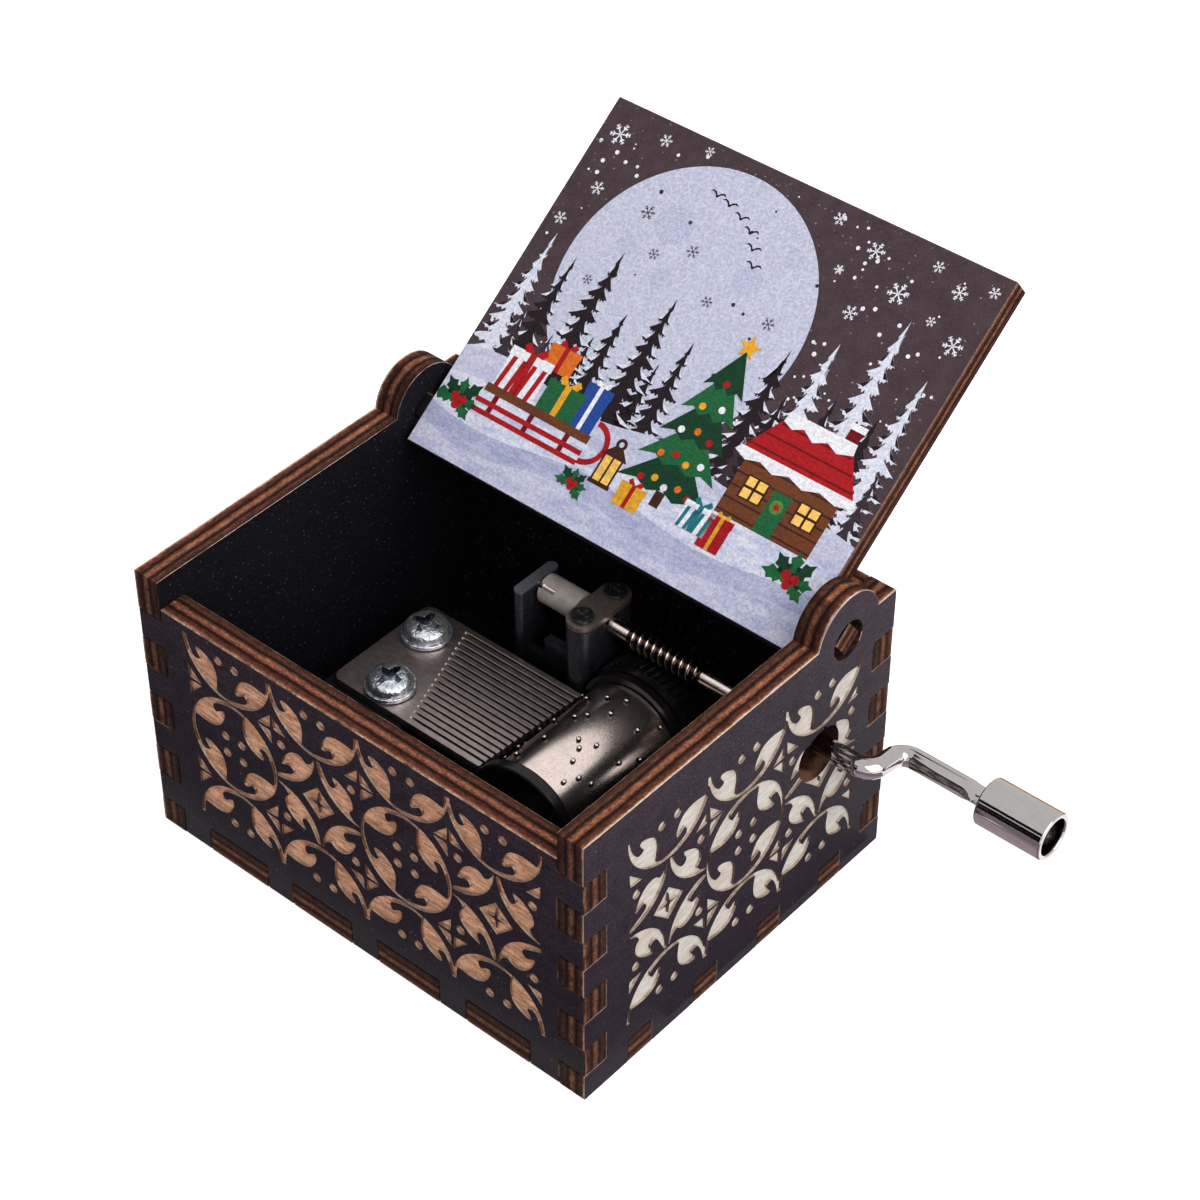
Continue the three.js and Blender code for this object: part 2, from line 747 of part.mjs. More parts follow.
function movementFrame() {
  const plate = block(plateLeft, plateRight, plateFront, plateBack, seatZ, plateTop);
  const pillarTop = strapUnder - seatGap;
  const pillar = extrudedUp(roundEndedShape(pillarX, shaftY, pillarWidth, pillarLength), seatZ, pillarTop);
  const post = extrudedUp(roundEndedShape(postX, shaftY - postWidth / 4, postWidth, postLength), seatZ,
    shaftZ + postRise);
  const webFront = shaftY - webInset;
  const webBack = webFront + webThickness;
  const webTop = shaftZ - webDrop;
  const web = block(postX, pillarX, webFront, webBack, seatZ, webTop - webStep);
  const webShelf = block(postX + webStepLength, pillarX, webFront, webBack, seatZ, webTop);
  const bossTop = plateTop + bossHeight;
  const bosses = baseScrewPlaces.map(([x, y]) => barZ(bossRadius, seatZ, bossTop, x, y, smallSteps));
  const frontLug = lug(frontLugBack - lugThickness, frontLugBack);
  const backLug = lug(backLugFront, backLugFront + lugThickness);
  const body = joined(plate, combLand(), pillar, post, web, webShelf, ...bosses, frontLug, backLug);

  const slotRadius = shaftRadius + boreGap;
  const pillarLeft = pillarX - pillarWidth / 2 - overrun / 2;
  const pillarRight = pillarX + pillarWidth / 2 + overrun;
  const shaftSlot = joined(
    barX(slotRadius, pillarLeft, pillarRight, shaftY, shaftZ, smallSteps),
    block(pillarLeft, pillarRight, shaftY - slotRadius, shaftY + slotRadius, shaftZ, pillarTop + overrun),
  );
  const journalBore = journalRadius + boreGap;
  const journalHole = barX(journalBore, postX - overrun, postX + overrun, shaftY, shaftZ, smallSteps);
  const wheelSpace = barY(wheelTipRadius + wheelClearance, barrelFront, backLugFront, cylinderX, cylinderZ);
  const arborHole = barY(arborRadius + boreGap, plateFront, plateBack, cylinderX, cylinderZ, smallSteps);
  const combHoles = combScrewPlaces().map(([x, y]) => barZ(combScrewRadius + screwHoleGap,
    combTop - combScrewDepth - seatGap, combTop, x, y, smallSteps));
  const strapHoles = strapScrewPlaces().map(([x, y]) => barZ(strapScrewRadius + boreGap,
    strapUnder - strapScrewDepth - seatGap, pillarTop + overrun, x, y, smallSteps));
  const baseHoles = baseScrewPlaces.map(([x, y]) => barZ(baseScrewRadius + boreGap, 0,
    baseHeadInset + baseScrewLength + seatGap, x, y, smallSteps));
  return cut(body, shaftSlot, journalHole, wheelSpace, arborHole, ...combHoles, ...strapHoles, ...baseHoles);
}

function bearingStrap() {
  const shape = roundEndedShape(pillarX, shaftY, pillarWidth, pillarLength);
  const strap = extrudedUp(shape, strapUnder, strapUnder + strapThickness);
  const holes = strapScrewPlaces().map(([x, y]) => barZ(strapScrewRadius + boreGap, strapUnder - overrun,
    strapUnder + strapThickness + overrun, x, y, smallSteps));
  return cut(strap, ...holes);
}

function strapScrew([x, y]) {
  const under = strapUnder + strapThickness + seatGap;
  const top = under + strapHeadHeight;
  const tip = strapUnder - strapScrewDepth;
  const profile = [[0, tip], [strapScrewRadius, tip], [strapScrewRadius, under], [strapHeadRadius, under],
    [strapHeadRadius, top], [0, top]];
  const screw = turnedZ(profile, x, y, smallSteps);
  const recess = crossRecess(x, y, top - strapCrossDepth, top + overrun, strapCrossWidth, strapCrossLength);
  return screw.subtract(recess);
}

function baseScrew([x, y]) {
  const bottom = baseHeadInset;
  const neck = bottom + baseHeadHeight;
  const profile = [[0, bottom], [baseHeadRadius, bottom], [baseScrewRadius, neck],
    [baseScrewRadius, bottom + baseScrewLength], [0, bottom + baseScrewLength]];
  const screw = turnedZ(profile, x, y, smallSteps);
  return screw.subtract(crossRecess(x, y, -overrun, bottom + baseHeadHeight / 2, crossWidth, baseHeadRadius));
}

// The crank

// The rod runs along the shaft's axis, bends square across and bends back
function crankPath() {
  const tilt = THREE.MathUtils.degToRad(crankTiltDegrees);
  const across = new THREE.Vector3(0, Math.cos(tilt), Math.sin(tilt));
  const along = new THREE.Vector3(1, 0, 0);
  const start = new THREE.Vector3(socketEnd - socketDepth + seatGap, shaftY, shaftZ);
  const firstCorner = new THREE.Vector3(crankArmX, shaftY, shaftZ);
  const secondCorner = firstCorner.clone().addScaledVector(across, crankThrow);
  const end = secondCorner.clone();
  end.x = rodEnd() + rodHeadLength / 2;
  return [start, ...bend(firstCorner, along, across), ...bend(secondCorner, across, along), end];
}

// Points of a round bend at a corner where the path turns from one direction to another
function bend(corner, from, to) {
  const centre = corner.clone().addScaledVector(from, -bendRadius).addScaledVector(to, bendRadius);
  return Array.from({ length: bendSteps + 1 }, (_, step) => {
    const angle = (step / bendSteps) * (Math.PI / 2);
    const point = centre.clone().addScaledVector(to, -bendRadius * Math.cos(angle));
    return point.addScaledVector(from, bendRadius * Math.sin(angle));
  });
}

function rodEnd() {
  return knobStart + knobSeatLength + knobPlay;
}

function knobCentre() {
  const tilt = THREE.MathUtils.degToRad(crankTiltDegrees);
  return [shaftY + crankThrow * Math.cos(tilt), shaftZ + crankThrow * Math.sin(tilt)];
}

// A path with one step of the sweep at each listed point
class ListedPath extends THREE.Curve {
  constructor(points) {
    super();
    this.points = points;
  }

  getUtoTmapping(share) {
    return share;
  }

  getPoint(share) {
    const last = this.points.length - 1;
    const place = share * last;
    const index = Math.min(Math.floor(place), last - 1);
    return this.points[index].clone().lerp(this.points[index + 1], place - index);
  }
}

function sweptRod(points, radius) {
  const section = new THREE.Shape();
  section.absarc(0, 0, radius, 0, 2 * Math.PI);
  const extrudePath = new ListedPath(points);
  const options = { extrudePath, steps: points.length - 1, curveSegments: rodSteps / 2 };
  return toSolid(new THREE.ExtrudeGeometry(section, options));
}

function crankHandle() {
  const [y, z] = knobCentre();
  const head = barX(rodHeadRadius, rodEnd(), rodEnd() + rodHeadLength, y, z, smallSteps);
  const crimp = new THREE.SphereGeometry(rodRadius, rodSteps, rodSteps / 2);
  crimp.scale(crimpLength / rodRadius, crimpWidthShare, crimpHeightShare);
  crimp.rotateX(THREE.MathUtils.degToRad(crankTiltDegrees));
  crimp.translate(knobStart - knobPlay - crimpLength, y, z);
  return joined(sweptRod(crankPath(), rodRadius), head, toSolid(crimp));
}

function crankKnob() {
  const [y, z] = knobCentre();
  const bore = rodRadius + knobBoreGap;
  const end = knobStart + knobLength;
  const seat = knobStart + knobSeatLength;
  const rim = knobRadius - knobChamfer;
  const profile = [[bore, knobStart], [rim, knobStart], [knobRadius, knobStart + knobChamfer],
    [knobRadius, end - knobChamfer], [rim, end], [knobRecessRadius, end], [knobRecessRadius, seat],
    [bore, seat], [bore, knobStart]];
  return turnedX(profile, y, z);
}

// The pieces, each with its finish

const finishes = {
  plywood: { color: 0x2b2430, roughness: 0.7, metalness: 0 },
  picture: { color: 0x8f98b4, roughness: 0.7, metalness: 0 },
  casting: { color: 0x23262e, roughness: 0.6, metalness: 0.5 },
  steel: { color: 0x9b938c, roughness: 0.35, metalness: 0.9 },
  nickel: { color: 0xcdc0b4, roughness: 0.25, metalness: 0.95 },
  zinc: { color: 0xd5dae0, roughness: 0.25, metalness: 0.95 },
  chrome: { color: 0xd9dadd, roughness: 0.1, metalness: 1 },
  blackPlastic: { color: 0x151517, roughness: 0.45, metalness: 0 },
  greyPlastic: { color: 0xb9b7b2, roughness: 0.5, metalness: 0 },
};

const part = new THREE.Group();

function addPiece(name, solid, finish, parent = part) {
  const mesh = new THREE.Mesh(toGeometry(solid), new THREE.MeshStandardMaterial(finishes[finish]));
  mesh.name = name;
  parent.add(mesh);
}

const caseGroup = new THREE.Group();
const lidGroup = new THREE.Group();
const movementGroup = new THREE.Group();
const crankGroup = new THREE.Group();
part.add(caseGroup, lidGroup, movementGroup, crankGroup);

addPiece('front_wall', crossWall(-1, frontWallHeight), 'plywood', caseGroup);
addPiece('back_wall', crossWall(1, sideWallHeight), 'plywood', caseGroup);
addPiece('left_wall', sideWall(-1, []), 'plywood', caseGroup);
const crankHole = [crankHoleRadius, shaftY + crankHoleShift, shaftZ];
addPiece('right_wall', sideWall(1, [crankHole]), 'plywood', caseGroup);
addPiece('bottom_panel', bottomPanel(), 'plywood', caseGroup);

lidGroup.position.set(0, hingeY, hingeZ);
lidGroup.rotation.x = lidOpenAngle();
addPiece('lid', lidPanel(), 'picture', lidGroup);

addPiece('movement_frame', movementFrame(), 'casting', movementGroup);
addPiece('comb', combPlate(), 'steel', movementGroup);
const combScrewNames = ['comb_screw_front', 'comb_screw_back'];
combScrewPlaces().forEach((place, index) => {
  addPiece(combScrewNames[index], combScrew(place), 'zinc', movementGroup);
});
addPiece('pinned_cylinder', pinnedCylinder(), 'nickel', movementGroup);
addPiece('cylinder_front_cap', cylinderFrontCap(), 'blackPlastic', movementGroup);
addPiece('worm_wheel', wormWheel(), 'blackPlastic', movementGroup);
addPiece('cylinder_arbor', cylinderArbor(), 'steel', movementGroup);
addPiece('bearing_strap', bearingStrap(), 'steel', movementGroup);
const strapScrewNames = ['strap_screw_front', 'strap_screw_back'];
strapScrewPlaces().forEach((place, index) => {
  addPiece(strapScrewNames[index], strapScrew(place), 'steel', movementGroup);
});
baseScrewPlaces.forEach((place, index) => {
  addPiece(`base_screw_${index + 1}`, baseScrew(place), 'zinc', movementGroup);
});

addPiece('worm_shaft', wormShaft(), 'nickel', crankGroup);
addPiece('spacer_sleeve', spacerSleeve(), 'greyPlastic', crankGroup);
addPiece('crank_handle', crankHandle(), 'chrome', crankGroup);
addPiece('crank_knob', crankKnob(), 'chrome', crankGroup);

export default part;
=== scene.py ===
import json
import math
import random

import bmesh
import bpy
from mathutils import Matrix, Vector


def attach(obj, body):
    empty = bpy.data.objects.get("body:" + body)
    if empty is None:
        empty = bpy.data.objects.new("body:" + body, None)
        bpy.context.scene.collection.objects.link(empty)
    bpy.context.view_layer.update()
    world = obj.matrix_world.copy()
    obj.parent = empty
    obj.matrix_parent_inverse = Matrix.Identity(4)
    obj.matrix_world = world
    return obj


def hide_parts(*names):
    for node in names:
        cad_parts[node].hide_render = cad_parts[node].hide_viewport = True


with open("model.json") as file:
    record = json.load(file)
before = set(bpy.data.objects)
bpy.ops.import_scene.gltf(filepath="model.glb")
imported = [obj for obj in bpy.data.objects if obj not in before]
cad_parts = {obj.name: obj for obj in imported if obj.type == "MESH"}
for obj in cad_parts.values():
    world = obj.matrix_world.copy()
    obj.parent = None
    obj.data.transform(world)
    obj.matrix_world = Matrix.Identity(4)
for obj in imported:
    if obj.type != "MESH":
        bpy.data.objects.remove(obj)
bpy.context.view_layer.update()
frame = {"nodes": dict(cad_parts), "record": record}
mm = 0.001
xAxis, yAxis, zAxis = Vector((1, 0, 0)), Vector((0, 1, 0)), Vector((0, 0, 1))
record = frame["record"]
bodyOf = {node: body for body, nodes in record["behaviour"]["bodies"].items() for node in nodes}
materials = {}


# Colours are written as they look on a screen, from 0 to 255
def tone(shade):
    shares = [value / 255 for value in shade]
    return tuple(s / 12.92 if s <= 0.04045 else ((s + 0.055) / 1.055) ** 2.4 for s in shares) + (1,)


# One output of a shader node, which can be used in sums
class Signal:
    def __init__(self, finish, socket):
        self.finish = finish
        self.socket = socket

    def combine(self, operation, *values):
        return self.finish.node("ShaderNodeMath", values, operation=operation)

    def __add__(self, other):
        return self.combine("ADD", self, other)

    def __sub__(self, other):
        return self.combine("SUBTRACT", self, other)

    def __rsub__(self, other):
        return self.combine("SUBTRACT", other, self)

    def __mul__(self, other):
        return self.combine("MULTIPLY", self, other)

    def __truediv__(self, other):
        return self.combine("DIVIDE", self, other)

    def __gt__(self, other):
        return self.combine("GREATER_THAN", self, other)

    def __lt__(self, other):
        return self.combine("LESS_THAN", self, other)

    __radd__ = __add__

    # A number that goes from 0 to 1 as this one goes from low to high
    def between(self, low, high):
        return self.finish.node("ShaderNodeMapRange", {0: self, 1: low, 2: high})


# A material or the world, with one main shader, and the one way in which its nodes are made
class Finish:
    def __init__(self, owner, shader="ShaderNodeBsdfPrincipled", output="ShaderNodeOutputMaterial"):
        owner.use_nodes = True
        self.owner = owner
        self.tree = owner.node_tree
        self.tree.nodes.clear()
        self.shader = self.tree.nodes.new(shader)
        self.tree.links.new(self.shader.outputs[0], self.tree.nodes.new(output).inputs[0])

    def node(self, kind, sockets=(), output=0, **settings):
        made = self.tree.nodes.new(kind)
        for key, value in settings.items():
            setattr(made, key, value)
        for key, value in sockets.items() if isinstance(sockets, dict) else enumerate(sockets):
            self.feed(made.inputs[key], value)
        return Signal(self, made.outputs[output])

    def feed(self, socket, value):
        if isinstance(value, Signal):
            self.tree.links.new(value.socket, socket)
        else:
            socket.default_value = value

    def set(self, socket, value):
        self.feed(self.shader.inputs[socket], value)

    def vector(self, operation, *values, output=0):
        return self.node("ShaderNodeVectorMath", values, output, operation=operation)

    # Places on the piece, in millimetres
    def spot(self, stretch=(1, 1, 1)):
        coords = self.node("ShaderNodeTexCoord", output="Object")
        return self.vector("MULTIPLY", coords, tuple(value / mm for value in stretch))

    # How far a place lies along a direction, from an origin in millimetres
    def along(self, direction, origin=(0, 0, 0)):
        moved = self.vector("SUBTRACT", self.spot(), origin)
        return self.vector("DOT_PRODUCT", moved, direction, output="Value")

    def noise(self, scale, detail, roughness=0.5, stretch=(1, 1, 1)):
        sockets = {"Vector": self.spot(stretch), "Scale": scale, "Detail": detail, "Roughness": roughness}
        return self.node("ShaderNodeTexNoise", sockets)

    def ramp(self, factor, stops):
        colour = self.node("ShaderNodeValToRGB", [factor])
        elements = colour.socket.node.color_ramp.elements
        while len(elements) < len(stops):
            elements.new(1)
        for element, (place, shade) in zip(elements, stops):
            element.position = place
            element.color = tone(shade)
        return colour

    def mix(self, factor, first, second, blend="MIX"):
        shades = [shade if isinstance(shade, Signal) else tone(shade) for shade in (first, second)]
        sockets = {0: factor, 6: shades[0], 7: shades[1]}
        return self.node("ShaderNodeMix", sockets, 2, data_type="RGBA", blend_type=blend)

    # Lays shades over a colour: for each a signal, where it starts and is full, a strength and a shade
    def layered(self, colour, *layers):
        for signal, low, high, strength, shade in layers:
            colour = self.mix(signal.between(low, high) * strength, colour, shade)
        return colour

    # What every finish ends with; the height of its relief is in millimetres
    def dress(self, colour, roughness, bumps, height, strength):
        self.set("Base Color", colour)
        self.set("Roughness", roughness)
        sockets = {"Height": bumps, "Distance": height * mm, "Strength": strength}
        self.set("Normal", self.node("ShaderNodeBump", sockets))


def newFinish(name, gloss=0.5):
    finish = Finish(bpy.data.materials.new(name))
    finish.set("Specular IOR Level", gloss)
    materials[name] = finish.owner
    return finish


def choose(*pieces):
    bpy.ops.object.select_all(action="DESELECT")
    for piece in pieces:
        piece.select_set(True)
    bpy.context.view_layer.objects.active = pieces[0]


def newObject(name, data):
    made = bpy.data.objects.new(name, data)
    bpy.context.scene.collection.objects.link(made)
    return made


def pieceFromPoints(name, points, edges, faces):
    mesh = bpy.data.meshes.new(name)
    mesh.from_pydata(points, edges, faces)
    return newObject(name, mesh)


def pieceFromShell(name, shell):
    mesh = bpy.data.meshes.new(name)
    shell.to_mesh(mesh)
    shell.free()
    return newObject(name, mesh)


def openMesh(piece):
    choose(piece)
    bpy.ops.object.mode_set(mode="EDIT")
    bpy.ops.mesh.select_all(action="SELECT")


# A copy of a CAD node, with its loose triangles merged into flat faces
def copyOfNode(node, name):
    piece = newObject(name, frame["nodes"][node].data.copy())
    openMesh(piece)
    bpy.ops.mesh.remove_doubles(threshold=0.001 * mm)
    bpy.ops.mesh.dissolve_limited(angle_limit=math.radians(0.5))
    bpy.ops.object.mode_set(mode="OBJECT")
    bpy.ops.mesh.customdata_custom_splitnormals_clear()
    bpy.ops.object.shade_flat()
    return piece


# Merges the points that meet and turns all faces outwards
def closeUp(piece):
    openMesh(piece)
    bpy.ops.mesh.remove_doubles(threshold=0.002 * mm)
    bpy.ops.mesh.normals_make_consistent(inside=False)
    bpy.ops.object.mode_set(mode="OBJECT")


def modify(piece, kind, **settings):
    modifier = piece.modifiers.new(kind.lower(), kind)
    for key, value in settings.items():
        setattr(modifier, key, value)
    choose(piece)
    bpy.ops.object.modifier_apply(modifier=modifier.name)


def bevelEdges(piece, width, segments, angle):
    modify(piece, "BEVEL", width=width * mm, segments=segments, limit_method="ANGLE",
           angle_limit=math.radians(angle))


def subtract(piece, cutter):
    modify(piece, "BOOLEAN", operation="DIFFERENCE", solver="MANIFOLD", object=cutter)
    bpy.data.objects.remove(cutter)


def smoothSides(piece, angle):
    choose(piece)
    bpy.ops.object.shade_smooth_by_angle(angle=math.radians(angle))
    modify(piece, "WEIGHTED_NORMAL", keep_sharp=True)


# Gives a piece its materials, its body and the node that it stands for
def place(piece, node, *names, replace=True):
    piece.data.materials.clear()
    for name in names:
        piece.data.materials.append(materials[name])
    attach(piece, bodyOf[node])
    if replace:
        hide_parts(node)


# A flat frame of reference: right, up and out of a surface, in millimetres
def surfaceFrame(origin, right, up):
    rows = [(*(axis * mm), 0) for axis in (right, up, right.cross(up))]
    return Matrix([*rows, (*(Vector(origin) * mm), 1)]).transposed()


# Adds a closed slab over a flat outline, from one height to another; its foot can be drawn in
def addSlab(shell, outline, low, high, matrix, foot=1):
    area = sum(a[0] * b[1] - b[0] * a[1] for a, b in zip(outline, outline[1:] + outline[:1]))
    if area < 0:
        outline = outline[::-1]
    under = [shell.verts.new(matrix @ Vector((u * foot, v * foot, low))) for u, v in outline]
    over = [shell.verts.new(matrix @ Vector((u, v, high))) for u, v in outline]
    faces = [shell.faces.new(over), shell.faces.new(under[::-1])]
    for a in range(len(outline)):
        b = (a + 1) % len(outline)
        faces.append(shell.faces.new((under[a], under[b], over[b], over[a])))
    return faces


# A curve through all the points of a list, up to the last one
def curveThrough(points, steps):
    padded = [points[0], *points, points[-1]]
    curve = []
    for a, b, c, d in zip(padded, padded[1:], padded[2:], padded[3:]):
        for step in range(steps):
            t = step / steps
            curve.append(tuple(
                0.5 * (2 * b[k] + (c[k] - a[k]) * t + (2 * a[k] - 5 * b[k] + 4 * c[k] - d[k]) * t ** 2
                       + (3 * b[k] - a[k] - 3 * c[k] + d[k]) * t ** 3) for k in (0, 1)))
    return curve


def arcPoints(centre, radius, start, end, steps):
    turns = [math.radians(start + (end - start) * step / steps) for step in range(steps + 1)]
    return [(centre[0] + radius * math.cos(t), centre[1] + radius * math.sin(t)) for t in turns]


# Turns an outline by quarter turns about the origin
def quarterTurned(outline, quarters):
    for _ in range(quarters):
        outline = [(-y, x) for x, y in outline]
    return outline


# The engraved ornament of rings, stars, dots and diamonds, in millimetres
ornament = {
    "depth": 0.3,
    "stretch": 1.02,
    "halfPitch": (6.46, 6.66),
    "rowHeights": (33.2, 19.6, 6),
    "cornerHeights": (26.5, 12.75),
    "dotRadius": 0.6,
    "dotPlace": 1.25,
    "starDotPlace": 1.4,
    "diamondCorner": [(0.14, 2.15), (2.15, 0.14), (0.75, 0.2), (0.3, 0.3), (0.2, 0.75)],
    "halfDiamond": [(2.4, -0.01), (0, 2.4), (-2.4, -0.01), (-1.5, -0.01), (-0.35, 0.16), (-0.16, 0.35),
                    (0, 1.5), (0.16, 0.35), (0.35, 0.16), (1.5, -0.01)],
    "ringLeaf": {"radius": 6.6, "arc": (-0.3, 90.3), "runs": [
        [(-0.04, 6.12), (0.75, 6.1), (1.35, 6.03), (1.95, 5.85)],
        [(1.95, 5.85), (1.83, 5.08), (1.72, 4.08), (1.83, 3.08), (2.25, 2.17), (3, 1.55), (3.9, 1.15),
         (4.55, 1.08)],
        [(4.55, 1.08), (4.75, 1.35)],
        [(4.75, 1.35), (4.5, 1.84), (4.2, 2.25), (4.17, 2.5), (4.42, 2.72), (4.92, 2.78), (5.3, 2.5),
         (5.7, 1.67), (5.97, 0.75), (6.1, -0.04)],
    ]},
    "starLeaf": {"radius": 6.32, "arc": (2.2, 86.6), "runs": [
        [(0.3, 6.2), (0.8, 5.98), (1.3, 5.69), (1.62, 5.3), (1.76, 4.93)],
        [(1.76, 4.93), (1.3, 4.4), (1.14, 3.68), (1.47, 2.68), (2.31, 1.84), (3.23, 1.34), (4.01, 1.09)],
        [(4.01, 1.09), (3.98, 1.5), (3.68, 2.05), (3.68, 2.51), (4.15, 2.88), (4.65, 2.68), (5.15, 1.84),
         (5.57, 0.92), (5.88, 0.22)],
    ]},
}


def leafOutline(leaf):
    points = [point for run in leaf["runs"] for point in curveThrough(run, 3)]
    return points + [leaf["runs"][-1][-1]] + arcPoints((0, 0), leaf["radius"], *leaf["arc"], 16)


# The outlines that are cut into one wall, in three sets whose members don't touch each other
def ornamentSets(columns, corners):
    sets = [[], [], []]
    dots = []
    halfX, halfY = ornament["halfPitch"]
    top, middle, bottom = ornament["rowHeights"]
    stretch = ornament["stretch"]
    spot = ornament["dotPlace"]

    def addLeaf(kind, quarter, x, y):
        leaf = quarterTurned(leafOutline(ornament[kind]), quarter)
        sets[quarter % 2].append([(x + a, y + b * stretch) for a, b in leaf])

    for column, kind in columns:
        rows = [(top, (2, 3), [-1]), (bottom, (0, 1), [1]), (middle, range(4), [-1, 1])]
        for height, quarters, levels in rows if kind == "ring" else rows[:2]:
            for quarter in quarters:
                addLeaf("ringLeaf", quarter, column, height)
            dots += [(column + side * spot, height + level * spot) for side in (-1, 1) for level in levels]
        if kind == "star":
            for quarter, (a, b) in enumerate([(-1, -1), (1, -1), (1, 1), (-1, 1)]):
                addLeaf("starLeaf", quarter, column + a * halfX, middle + b * halfY * stretch)
            for side, cutters in zip((1, -1), sets):
                cutters.append([(column + x, middle + y * side) for x, y in ornament["halfDiamond"]])
    kinds = [None, *(kind for _, kind in columns), None]
    for corner, *beside in zip(corners, kinds, kinds[1:]):
        for height, inner in zip(ornament["cornerHeights"], (-1, 1)):
            for side, kind in zip((-1, 1), beside):
                for level in (-1, 1) if kind else ():
                    if kind == "star" and level == inner:
                        dots.append((corner + side * spot, height + level * ornament["starDotPlace"]))
                    else:
                        diamond = ornament["diamondCorner"]
                        sets[2].append([(corner + x * side, height + y * level) for x, y in diamond])
    sets[2] += [arcPoints(dot, ornament["dotRadius"], 0, 345, 23) for dot in dots]
    return sets


def carve(piece, outlines, matrix):
    shell = bmesh.new()
    for outline in outlines:
        addSlab(shell, outline, -ornament["depth"], 0.2, matrix)
    subtract(piece, pieceFromShell("cutter", shell))


# Plywood: painted faces, laser-cut edges that show the plies, and the engraved floors
plyEdge = {
    "layers": [(0, (122, 80, 64)), (0.06, (204, 138, 104)), (0.13, (140, 82, 62)), (0.24, (112, 64, 50)),
               (0.3, (44, 25, 22)), (0.36, (66, 39, 32)), (0.42, (180, 110, 80)), (0.52, (214, 144, 108)),
               (0.6, (140, 88, 68)), (0.66, (36, 21, 18)), (0.72, (62, 42, 34)), (0.78, (128, 80, 62)),
               (0.9, (100, 62, 50)), (1, (56, 35, 32))],
    "scorch": (22, 11, 10),
    "wornLitRim": (240, 216, 198),
    "gloss": 0.06,
    "wander": 0.12,
    "ridges": 0.06,
}
# Each paint's foot shades are painted shade low down and its top shades painted light higher up
paints = {
    "stained_plywood": {
        "foot": [(20, 11, 22), (34, 23, 36)], "top": [(38, 29, 40), (64, 54, 64)], "grit": (12, 7, 15),
        "speck": (124, 112, 122), "speckFrom": 0.76, "relief": 0.03, "gloss": 0.1},
    "stained_plywood_inside": {
        "foot": [(6, 6, 10), (11, 10, 16)], "top": [(8, 8, 13), (17, 15, 23)], "grit": (4, 4, 8),
        "speck": (90, 92, 106), "speckFrom": 0.7, "relief": 0.04, "gloss": 0.11},
}
# For each: light, dark, warm and burnt shades, how strong warm and burnt are, and how the grain is squeezed
engravings = {
    "engraved_tan": [(230, 180, 148), (144, 98, 72), (168, 116, 86), (84, 50, 36), 0.5, 0.8, (0.5, 0.5, 2.6)],
    "engraved_cream": [(188, 185, 180), (158, 153, 146), (156, 136, 118), (150, 124, 106), 0.4, 0.4,
                       (0.5, 0.5, 2.6)],
    # The pockets' walls: the sides are darkened with painted shade, the sills lightened with a painted
    # highlight
    "engraved_sides": [(138, 104, 84), (90, 62, 50), (70, 46, 37), (38, 25, 22), 0.6, 0.8, (1, 1, 1)],
    "pale_engraved_sides": [(112, 90, 78), (70, 54, 47), (58, 42, 36), (34, 24, 22), 0.6, 0.8, (1, 1, 1)],
    "engraved_sills": [(186, 170, 156), (138, 116, 100), (104, 78, 64), (80, 56, 44), 0.5, 0.6, (1, 1, 1)],
    # The arrises' pale shades are worn bare wood together with a painted highlight
    "worn_arris": [(246, 226, 210), (206, 170, 144), (96, 64, 50), (70, 46, 38), 0.8, 0.5, (1.4, 1.4, 1.4)],
    "soft_arris": [(200, 170, 142), (112, 76, 56), (64, 38, 30), (34, 20, 18), 1, 0.9, (1.4, 1.4, 1.4)],
    "burnt_seam": [(60, 34, 30), (26, 14, 14), (150, 112, 84), (14, 9, 9), 0.5, 0.7, (1.6, 1.6, 1.6)],
}


# An edge of three plies; the streaks follow the edge and are fine across it, and its outer rim is pale,
# partly worn bare wood and partly a painted highlight
def plyFinish(name, outward, origin, thickness, darkness, wornLitRimShare):
    finish = newFinish(name, plyEdge["gloss"])
    depth = finish.along(-outward, origin) / thickness
    swirl = finish.noise(0.3, 3, 0.6) - 0.5
    ridges = finish.noise(2.4, 4, 0.7) - 0.5
    layer = depth + swirl * plyEdge["wander"] + ridges * plyEdge["ridges"]
    squeezed = tuple(1.3 + 9 * abs(value) for value in outward)
    fibre = finish.noise(1, 4, 0.8, squeezed).between(0.4, 0.62)
    pores = finish.noise(3.2, 4, 0.8).between(0.44, 0.64)
    burnt = finish.noise(0.7, 4, 0.65).between(0.36, 0.74)
    colour = finish.ramp(layer, plyEdge["layers"])
    for share in (burnt * 0.5 + darkness, fibre * 0.66, pores * 0.66):
        colour = finish.mix(share, colour, plyEdge["scorch"])
    # The pale outer rim: worn bare wood and a painted highlight
    rim = (1 - layer.between(0.03, 0.075)) * (1 - pores * 0.5) * wornLitRimShare
    finish.dress(finish.mix(rim, colour, plyEdge["wornLitRim"]), fibre * 0.2 + 0.66, fibre + pores, 0.07, 0.9)


def paintFinish(name, look):
    finish = newFinish(name, look["gloss"])
    grain = finish.noise(1, 5, 0.7, (0.22, 0.22, 3.2))
    mottle = finish.noise(0.5, 3, 0.6)
    fine = finish.noise(3.2, 4, 0.75)
    streaks = (grain * 0.6 + mottle * 0.4).between(0.35, 0.65)
    # Painted shade and light: the foot shades low down give way to the top shades over the first 40 mm of
    # height
    foot, top = (finish.mix(streaks, *look[part]) for part in ("foot", "top"))
    colour = finish.layered(
        foot, (finish.along(zAxis), 0, 40, 1, top), (fine, 0.36, 0.64, 0.85, look["grit"]),
        (finish.noise(3.1, 1), look["speckFrom"], look["speckFrom"] + 0.03, 0.7, look["speck"]))
    finish.dress(colour, fine * 0.25 + 0.5, fine + grain * 1.5, look["relief"], 0.7)


